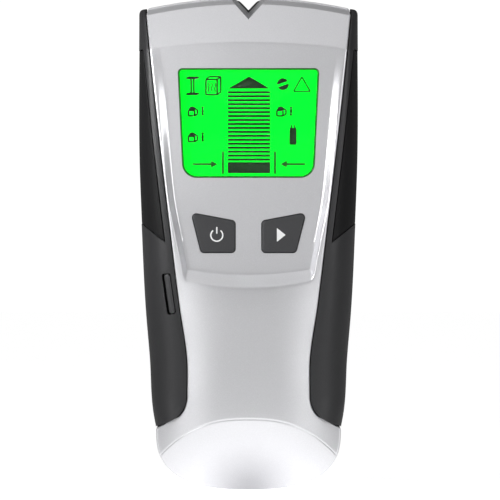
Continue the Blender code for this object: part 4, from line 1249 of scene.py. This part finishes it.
@dataclass(frozen=True)
class BatteryDoor:
    """The battery door: a plate with finger grooves, hooks and a snap tongue, and a foam pad inside it."""

    half_width: float = 17.0
    length: float = 56.0
    thickness: float = 1.8
    hooks: tuple = (-11, 11)
    grooves: int = 5
    groove_step: float = 2.0

    def build(self) -> None:
        """Makes the door and its pad."""
        plate = rectangle(self.half_width, 0.0, self.length, 1.2)
        door = Piece("door_panel", DOOR).slab(plate, 0.0, self.thickness, (0.35, 0.2)).build()
        parts = []
        for x in self.hooks:
            neck = rectangle(3.0, 0.3, 1.7, 0.3, middle=x)
            parts.append(Piece("neck", DOOR).slab(neck, 1.5, 3.3, (0.0, 0.2)))
            hook = rectangle(2.9, -1.7, 1.2, 0.4, middle=x)
            parts.append(Piece("hook", DOOR).slab(hook, 2.35, 3.2, (0.15, 0.15)))
        tongue = rectangle(5.0, self.length - 2.2, self.length - 0.9, 0.3)
        parts.append(Piece("tongue", DOOR).slab(tongue, 1.5, 5.4, (0.0, 0.3)))
        carve(door, [part.build() for part in parts], Cut.JOIN)
        grooves = Piece("grooves", DOOR)
        for k in range(self.grooves):
            y = self.length - 6.0 - self.groove_step * k
            grooves.slab(rectangle(8.0, y - 0.5, y + 0.5, 0.45), -1.0, 0.45, (0.0, 0.3))
        carve(door, [grooves.build()])
        dress(door, DARK, Body.DOOR, ("battery_door",), 35)
        self.pad()

    def pad(self) -> None:
        """Makes the foam pad: a crowned slab whose sides carry a wave of a few hundredths of a millimetre."""
        outline = resampled(rectangle(10.0, 5.0, 48.0, 1.2), 160)
        wave = 0.0024 * np.sin(outline[:, 1] * 0.9) * np.cos(outline[:, 0] * 0.5)
        outline = outline * (1 - wave[:, None])
        pad = Piece("door_foam_pad", DOOR).slab(outline, 2.1, 2.7, (0.2, 0.3), 0.2).build()
        dress(pad, FOAM, Body.DOOR, ("door_foam",), 60)


@dataclass(frozen=True)
class FeltGlide:
    """A felt pad that slides on the wall."""

    name: str
    half_width: float
    low: float
    high: float

    def build(self) -> None:
        """Makes the pad: a slab with well rounded edges."""
        outline = resampled(rectangle(self.half_width, self.low, self.high, 1.2), 200)
        pad = Piece("felt_" + self.name).slab(outline, 0.0, 0.9, (0.35, 0.1)).build()
        dress(pad, FELT, Body.CASE, (self.name,), 60)


# ------------------------------------------------------------------ buttons and side key


@dataclass(frozen=True)
class FrontButton:
    """A front push button with its printed mark."""

    side: int
    cover: FrontCover
    mark_span: tuple = (0.45, 0.615)
    ring: tuple = (2.2, 1.75)

    @property
    def body(self) -> Body:
        """The CAD body, which has the CAD node's name."""
        return Body.POWER if self.side < 0 else Body.MODE

    def build(self) -> None:
        """Makes the crowned cap with its flange and stem, and the mark on it."""
        outline = resampled(self.cover.button_outline(self.side), 160)
        cap = Piece(self.body.value + "_cap", PANEL).slab(outline, -2.6, 0.38, (0.0, 0.42), 0.2).build()
        flange = Piece("flange", PANEL).slab(inset(outline, -0.9), -3.0, -2.3).build()
        centre = (self.side * 10.9, 85.2 - SHAPE.panel_centre)
        stem = Piece("stem", PANEL).slab(circle(centre, 1.8), -5.0, -2.6).build()
        carve(cap, [flange, stem], Cut.JOIN)
        dress(cap, BUTTON, self.body, (self.body.value,), 38)
        mark = Piece(self.body.value + "_mark", PANEL)
        if self.side < 0:
            self._power_mark(mark, (-10.5, 85.0 - SHAPE.panel_centre))
        else:
            corners = [(9.4, 82.8), (12.3, 85.1), (9.4, 87.4)]
            triangle = rounded(np.array(corners) - (0, SHAPE.panel_centre), (0.12,) * 3, 4)
            mark.slab(triangle, *self.mark_span)
        dress(mark.build(), MARK, self.body)

    def _power_mark(self, mark: Piece, centre: tuple) -> None:
        """Adds a generic on/off mark: an open ring with an upright bar in its gap.

        Args:
            mark: The piece it is added to.
            centre: The ring's centre in the panel's frame.
        """
        turn = np.radians(np.linspace(128, 412, 48))
        arc = np.stack((np.cos(turn), np.sin(turn)), axis=1)
        outside, inside = self.ring
        ring = np.vstack((np.array(centre) + outside * arc, (np.array(centre) + inside * arc)[::-1]))
        mark.flat(ring, *self.mark_span)
        bar = rectangle(0.23, centre[1] + 0.5, centre[1] + 2.75, 0.15, middle=centre[0])
        mark.slab(bar, *self.mark_span)


@dataclass(frozen=True)
class SideKey:
    """The slim key in the left grip's slot."""

    half_width: float = 0.95
    half_length: float = 6.5
    flange_half_width: float = 1.75
    flange_half_length: float = 7.6
    corner: float = 0.7

    def build(self) -> None:
        """Makes the key: a rounded bar with a flange behind the wall."""
        bar = rectangle(self.half_width, -self.half_length, self.half_length, self.corner)
        key = Piece("side_key_bar", SIDE_KEY).slab(resampled(bar, 160), -2.6, 0.35, (0.0, 0.3), 0.1).build()
        reach = self.flange_half_length
        rim = rectangle(self.flange_half_width, -reach, reach, self.corner)
        flange = Piece("flange", SIDE_KEY).slab(rim, -3.2, -2.4).build()
        carve(key, [flange], Cut.JOIN)
        dress(key, BUTTON, Body.SCAN, ("scan_key",), 38)


# ------------------------------------------------------------------ display


@dataclass(frozen=True)
class Display:
    """The clear window and the dark segments that the display shows over its green glow."""

    cover: FrontCover
    front: float = -3.44
    back: float = -3.49
    bars: int = 18
    bar_step: float = 1.31
    line: float = 0.56

    def window(self) -> None:
        """Makes the clear window: a plate with polished round edges, flush with the panel."""
        outline = resampled(self.cover.window_outline(), 260)
        window = Piece("window_lens", PANEL).slab(outline, -1.85, -0.25, (0.1, 0.2)).build()
        dress(window, CLEAR, Body.CASE, ("display_window",), 30)

    def stroke(self, piece: Piece, start: tuple, end: tuple, width: float) -> None:
        """Adds a straight segment between two points given as (x, height).

        Args:
            piece: The piece it is added to.
            start: One end.
            end: The other end.
            width: How wide the segment is.
        """
        ends = np.array((start, end), dtype=float) - (0, SHAPE.panel_centre)
        direction = (ends[1] - ends[0]) / np.linalg.norm(ends[1] - ends[0])
        side = np.array((direction[1], -direction[0])) * width / 2
        corners = (ends[0] + side, ends[1] + side, ends[1] - side, ends[0] - side)
        piece.flat(np.array(corners), self.back, self.front)

    def area(self, piece: Piece, corners: list) -> None:
        """Adds a filled segment with the given anticlockwise corners (x, height)."""
        piece.flat(np.array(corners, dtype=float) - (0, SHAPE.panel_centre), self.back, self.front)

    def path(self, piece: Piece, corners: list, width: float, closed: bool = True) -> None:
        """Adds a line of straight segments.

        Args:
            piece: The piece it is added to.
            corners: The corners (x, height) it runs through.
            width: How wide the line is.
            closed: Whether it returns to its first corner.
        """
        ends = corners[1:] + corners[:1] if closed else corners[1:]
        for start, end in zip(corners, ends):
            self.stroke(piece, start, end, width)

    def segments(self) -> None:
        """Makes the segments: the signal scale, the aiming marks, and the icons at both sides."""
        scale = Piece("display_scale", PANEL)
        self.area(scale, [(-6.9, 133.5), (7.2, 133.5), (0.25, 137.6)])
        for k in range(self.bars):
            height = 132.3 - self.bar_step * k
            self.stroke(scale, (-6.9, height), (7.2, height), 0.78)
        self.area(scale, [(-6.9, 105.5), (7.2, 105.5), (7.2, 109.2), (-6.9, 109.2)])
        dress(scale.build(), ICON, Body.CASE)

        aim = Piece("display_aim", PANEL)
        for x in (-8.5, 8.8):
            self.stroke(aim, (x, 105.3), (x, 112.8), 0.75)
        for x, tip in ((-18.6, -10.2), (18.9, 10.5)):
            inward = math.copysign(1.0, tip)
            self.stroke(aim, (x, 108.5), (tip + 2.0 * inward, 108.5), 0.72)
            corners = [(tip, 108.5), (tip + 2.3 * inward, 109.8), (tip + 2.3 * inward, 107.2)]
            self.area(aim, corners if inward > 0 else corners[::-1])
        dress(aim.build(), SEGMENT, Body.CASE)

        icons = Piece("display_icons", PANEL)
        self._stud_icons(icons)
        for x, height in ((-18.4, 126.0), (-18.4, 117.4), (10.9, 126.0)):
            self._depth_icon(icons, x, height)
        self._cable_icons(icons)
        dress(icons.build(), ICON, Body.CASE)

    def _stud_icons(self, icons: Piece) -> None:
        """Adds the metal beam and the timber block at the upper left."""
        beam = [(-20.6, 136.9), (-20.0, 137.3), (-16.4, 137.3), (-17.0, 136.9)]
        for lift in (0.0, -5.3):
            self.path(icons, [(x, height + lift) for x, height in beam], self.line)
        for x in (-19.0, -18.1):
            self.stroke(icons, (x, 132.1), (x, 136.8), self.line)
        front = [(-14.1, 131.5), (-10.4, 131.5), (-10.4, 136.5), (-14.1, 136.5)]
        self.path(icons, front, self.line)
        behind = [(-14.1, 136.5), (-13.0, 137.5), (-9.2, 137.5), (-9.2, 132.4), (-10.4, 131.5)]
        self.path(icons, behind, self.line, False)
        self.stroke(icons, (-10.4, 136.5), (-9.2, 137.5), self.line)
        for x in (-13.3, -12.25, -11.2):
            grain = [(x, 135.6), (x + 0.3, 134.6), (x - 0.1, 133.6), (x + 0.2, 132.4)]
            self.path(icons, grain, 0.42, False)

    def _depth_icon(self, icons: Piece, x: float, height: float) -> None:
        """Adds a small block with a measuring stroke beside it.

        Args:
            icons: The piece it is added to.
            x: The block's middle.
            height: The height of the block's middle.
        """
        low, high = height - 1.5, height + 0.3
        self.path(icons, [(x - 1.5, low), (x + 0.5, low), (x + 0.5, high), (x - 1.5, high)], self.line)
        lid = [(-1.7, 0.3), (0.5, 0.3), (1.7, 0.6), (0.1, 1.7), (-0.9, 1.6)]
        lid = [(x + across, height + up) for across, up in lid]
        self.area(icons, lid)
        flank = [(x + 0.5, height - 1.5), (x + 1.5, height - 0.9), (x + 1.5, height + 0.6)]
        self.path(icons, flank, self.line, False)
        self.stroke(icons, (x + 3.2, height - 1.2), (x + 3.2, height + 1.4), self.line)
        for lift in (-1.2, 0.1, 1.4):
            self.stroke(icons, (x + 2.7, height + lift), (x + 3.7, height + lift), 0.45)

    def _cable_icons(self, icons: Piece) -> None:
        """Adds the round pipe mark, the live cable bolt in its triangle, and the battery at the right."""
        disc = circle((11.4, 135.0), 2.0, 48)
        for side in (-1, 1):
            half = disc[(side * (disc[:, 1] - 135.0 - 0.35 * (disc[:, 0] - 11.4)) > 0.16)]
            turn = np.argsort(np.arctan2(half[:, 1] - half[:, 1].mean(), half[:, 0] - half[:, 0].mean()))
            self.area(icons, half[turn].tolist())
        self.path(icons, [(14.9, 132.6), (20.5, 132.6), (17.7, 137.4)], 0.46)
        bolt = [(17.2, 133.2), (17.9, 134.5), (17.5, 134.5), (18.2, 135.9), (17.2, 134.2), (17.6, 134.2)]
        self.area(icons, bolt)
        body = rectangle(1.2, 114.9, 120.5, 0.25, middle=14.75)
        self.area(icons, body.tolist())
        for x in (14.2, 15.3):
            self.stroke(icons, (x, 120.5), (x, 121.5), 0.5)


# ------------------------------------------------------------------ the nodes kept from the frame


KEPT = {
    GREEN: ("lcd_glass",),
    GUIDE: ("lcd_backlight",),
    GREY: ("lcd_holder",),
    SOFT: ("window_gasket", "lcd_connector"),
    BOARD: ("main_board", "sensor_board"),
    DARK: ("controller_chip", "buzzer", "power_switch", "mode_switch", "scan_switch")
    + ("board_link", "battery_snap"),
    COPPER: ("sensor_plate_left", "sensor_plate_centre", "sensor_plate_right", "metal_coil"),
    STEEL: ("board_screw_1", "board_screw_2", "board_screw_3")
    + ("case_screw_1", "case_screw_2", "case_screw_3", "case_screw_4"),
    BATTERY: ("battery",),
    RED: ("lead_red",),
    BLACK: ("lead_black",),
}


def dress_kept_nodes() -> None:
    """Gives every CAD node that stays visible its procedural finish."""
    for finish, names in KEPT.items():
        for name in names:
            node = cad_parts[name]
            node.data.materials.clear()
            node.data.materials.append(finish.material())
            LOG.info("%s: kept, %s", name, finish.name)


# ------------------------------------------------------------------ studio


@dataclass(frozen=True)
class Softbox:
    """An area light, whose spread is its opening angle in degrees."""

    name: str
    place: tuple
    aim: tuple
    size: tuple
    power: float
    colour: Colour = (1.0, 1.0, 1.0)
    spread: float = 180.0

    def build(self) -> None:
        """Adds the light, turned to its aim."""
        light = bpy.data.lights.new(self.name, "AREA")
        light.shape = "RECTANGLE"
        light.size, light.size_y = self.size
        light.energy = self.power
        light.color = self.colour
        light.spread = math.radians(self.spread)
        lamp = bpy.data.objects.new(self.name, light)
        lamp.location = self.place
        direction = Vector(self.aim) - Vector(self.place)
        lamp.rotation_euler = direction.to_track_quat("-Z", "Y").to_euler()
        bpy.context.scene.collection.objects.link(lamp)


@dataclass(frozen=True)
class Studio:
    """A pale floor, a white surround, soft lights and the camera straight in front of the face."""

    lens: float = 300.0
    sensor: float = 36.0
    view_width: float = 0.16635
    centre: tuple = (0.0005, -0.02, -0.0699)
    surround: float = 0.12
    backdrop: float = 1.05
    floor_reach: float = 4.0
    floor_glow: float = 0.13
    floor_lift: float = 0.7
    # painted light: a pool of glow on the floor round the foot, with a darker patch right under the foot
    painted_pool_glow: float = 0.7
    painted_pool_scale: float = 5.5
    painted_pool_stops: tuple = ((0.0, 0.0), (0.02, 0.1), (0.1, 1.0), (0.24, 1.0), (0.42, 0.0))
    sky_strength: float = 0.55
    sky_angle: float = 80.0
    sky_tilt: float = 18.0

    def build(self) -> None:
        """Makes the floor, the surround, the lights and the camera."""
        self._floor()
        self._world()
        behind = (0.0, 0.0, -0.08)
        panel = (0.0, -0.02, -0.02)
        for softbox in (
            Softbox("left_strip", (-0.68, -0.81, -0.07), behind, (0.46, 0.9), 4.4),
            Softbox("right_strip", (0.68, -0.81, -0.07), behind, (0.42, 0.9), 3.6),
            Softbox("panel_card", (-0.16, -0.16, 0.02), panel, (0.1, 0.06), 0.045, spread=60.0),
        ):
            softbox.build()
        self._sky()
        self._camera()

    def _sky(self) -> None:
        """Adds one very soft light from high in front, the same everywhere on the floor."""
        light = bpy.data.lights.new("sky", "SUN")
        light.energy = self.sky_strength
        light.angle = math.radians(self.sky_angle)
        lamp = bpy.data.objects.new("sky", light)
        lamp.rotation_euler = (math.radians(self.sky_tilt), 0.0, 0.0)
        bpy.context.scene.collection.objects.link(lamp)

    def _floor(self) -> None:
        """Adds a wide floor under the tool's foot, a plane with a faint grain and a painted pool of light
        round the foot.
        """
        mesh = bpy.data.meshes.new("studio_floor")
        reach, foot = self.floor_reach, float(CAD_BOX[0].z)
        corners = [(x * reach, y * reach, foot) for x, y in ((-1, -1), (1, -1), (1, 1), (-1, 1))]
        mesh.from_pydata(corners, [], [(0, 1, 2, 3)])
        floor = bpy.data.objects.new("studio_floor", mesh)
        mesh.materials.append(self._floor_with_painted_pool(foot))
        bpy.context.scene.collection.objects.link(floor)

    def _floor_with_painted_pool(self, foot: float) -> bpy.types.Material:
        """Makes the floor's white, with a painted pool of light round the tool's foot that brightens the chin
        from below.

        The glow is a painted pool of light: a ramp over the distance from the foot, zero right under the
        foot, so the floor there stays darker than the ring round it. An even part is added that is stronger
        as the camera sees it than as a source of light.

        Args:
            foot: The floor's height.

        Returns:
            The material.
        """
        shade = (0.93, 0.93, 0.93)
        white = Finish("studio_white", shade, 0.4, variation=0.005, grain=300.0, relief=0.0, glow=1.0)
        material = white.material()
        tree = material.node_tree
        seen = tree.nodes.new("ShaderNodeLightPath")
        lift = self._sum(tree, seen.outputs["Is Camera Ray"], self.floor_lift)
        lift.inputs[2].default_value = self.floor_glow
        place = tree.nodes.new("ShaderNodeTexCoord")
        distance = tree.nodes.new("ShaderNodeVectorMath")
        distance.operation = "DISTANCE"
        distance.inputs[1].default_value = (0.0, -0.014, foot)
        tree.links.new(place.outputs["Object"], distance.inputs[0])
        scaled = self._sum(tree, distance.outputs["Value"], self.painted_pool_scale)
        scaled.inputs[2].default_value = 0.0
        # painted pool of light round the foot, zero right under it
        pool_ramp = tree.nodes.new("ShaderNodeValToRGB")
        ramp = pool_ramp.color_ramp.elements
        for at, value in self.painted_pool_stops:
            stop = ramp[0] if at == 0.0 else ramp.new(at)
            stop.position = at
            stop.color = (value, value, value, 1.0)
        ramp.remove(ramp[-1])
        tree.links.new(scaled.outputs[0], pool_ramp.inputs[0])
        total = self._sum(tree, pool_ramp.outputs[0], self.painted_pool_glow)
        tree.links.new(lift.outputs[0], total.inputs[2])
        tree.links.new(total.outputs[0], tree.nodes["Principled BSDF"].inputs["Emission Strength"])
        return material

    def _sum(self, tree: bpy.types.NodeTree, source: bpy.types.NodeSocket, factor: float) -> bpy.types.Node:
        """Adds a node that multiplies a source by a factor and adds its third input.

        Args:
            tree: The material's nodes.
            source: The socket it reads.
            factor: What it multiplies by.

        Returns:
            The node.
        """
        node = tree.nodes.new("ShaderNodeMath")
        node.operation = "MULTIPLY_ADD"
        node.inputs[1].default_value = factor
        tree.links.new(source, node.inputs[0])
        return node

    def _world(self) -> None:
        """Makes the surround: white behind the tool, and a soft grey room for its light."""
        world = bpy.data.worlds.new("studio_world")
        world.use_nodes = True
        tree = world.node_tree
        room = tree.nodes["Background"]
        room.inputs["Color"].default_value = (1.0, 1.0, 1.0, 1.0)
        room.inputs["Strength"].default_value = self.surround
        white = tree.nodes.new("ShaderNodeBackground")
        white.inputs["Color"].default_value = (1.0, 1.0, 1.0, 1.0)
        white.inputs["Strength"].default_value = self.backdrop
        seen = tree.nodes.new("ShaderNodeLightPath")
        mix = tree.nodes.new("ShaderNodeMixShader")
        tree.links.new(seen.outputs["Is Camera Ray"], mix.inputs[0])
        tree.links.new(room.outputs[0], mix.inputs[1])
        tree.links.new(white.outputs[0], mix.inputs[2])
        tree.links.new(mix.outputs[0], tree.nodes["World Output"].inputs["Surface"])
        bpy.context.scene.world = world

    def _camera(self) -> None:
        """Adds the camera, a long lens that looks along +Y."""
        camera = bpy.data.objects.new("camera", bpy.data.cameras.new("camera"))
        camera.data.lens = self.lens
        camera.data.sensor_width = self.sensor
        camera.data.clip_start = 0.01
        x, y, z = self.centre
        camera.location = (x, y - self.view_width * self.lens / self.sensor, z)
        camera.rotation_euler = (math.pi / 2, 0.0, 0.0)
        bpy.context.scene.collection.objects.link(camera)
        bpy.context.scene.camera = camera
        bpy.context.scene.view_settings.view_transform = "Standard"


def main() -> None:
    """Builds every sub-assembly in order."""
    logging.basicConfig(level=logging.INFO, format="%(message)s")
    Studio().build()
    cover = FrontCover()
    cover.build(notch_wedge())
    for side in (-1, 1):
        grip = SideGrip(side)
        grip.moulding()
        grip.inlay()
    RearCover().build(notch_wedge())
    BatteryDoor().build()
    FeltGlide("glide_pad_top", 22.0, 146.0, 154.0).build()
    FeltGlide("glide_pad_bottom", 14.0, 8.0, 16.0).build()
    for side in (-1, 1):
        FrontButton(side, cover).build()
    SideKey().build()
    display = Display(cover)
    display.window()
    display.segments()
    dress_kept_nodes()


if __name__ == "__main__":
    main()
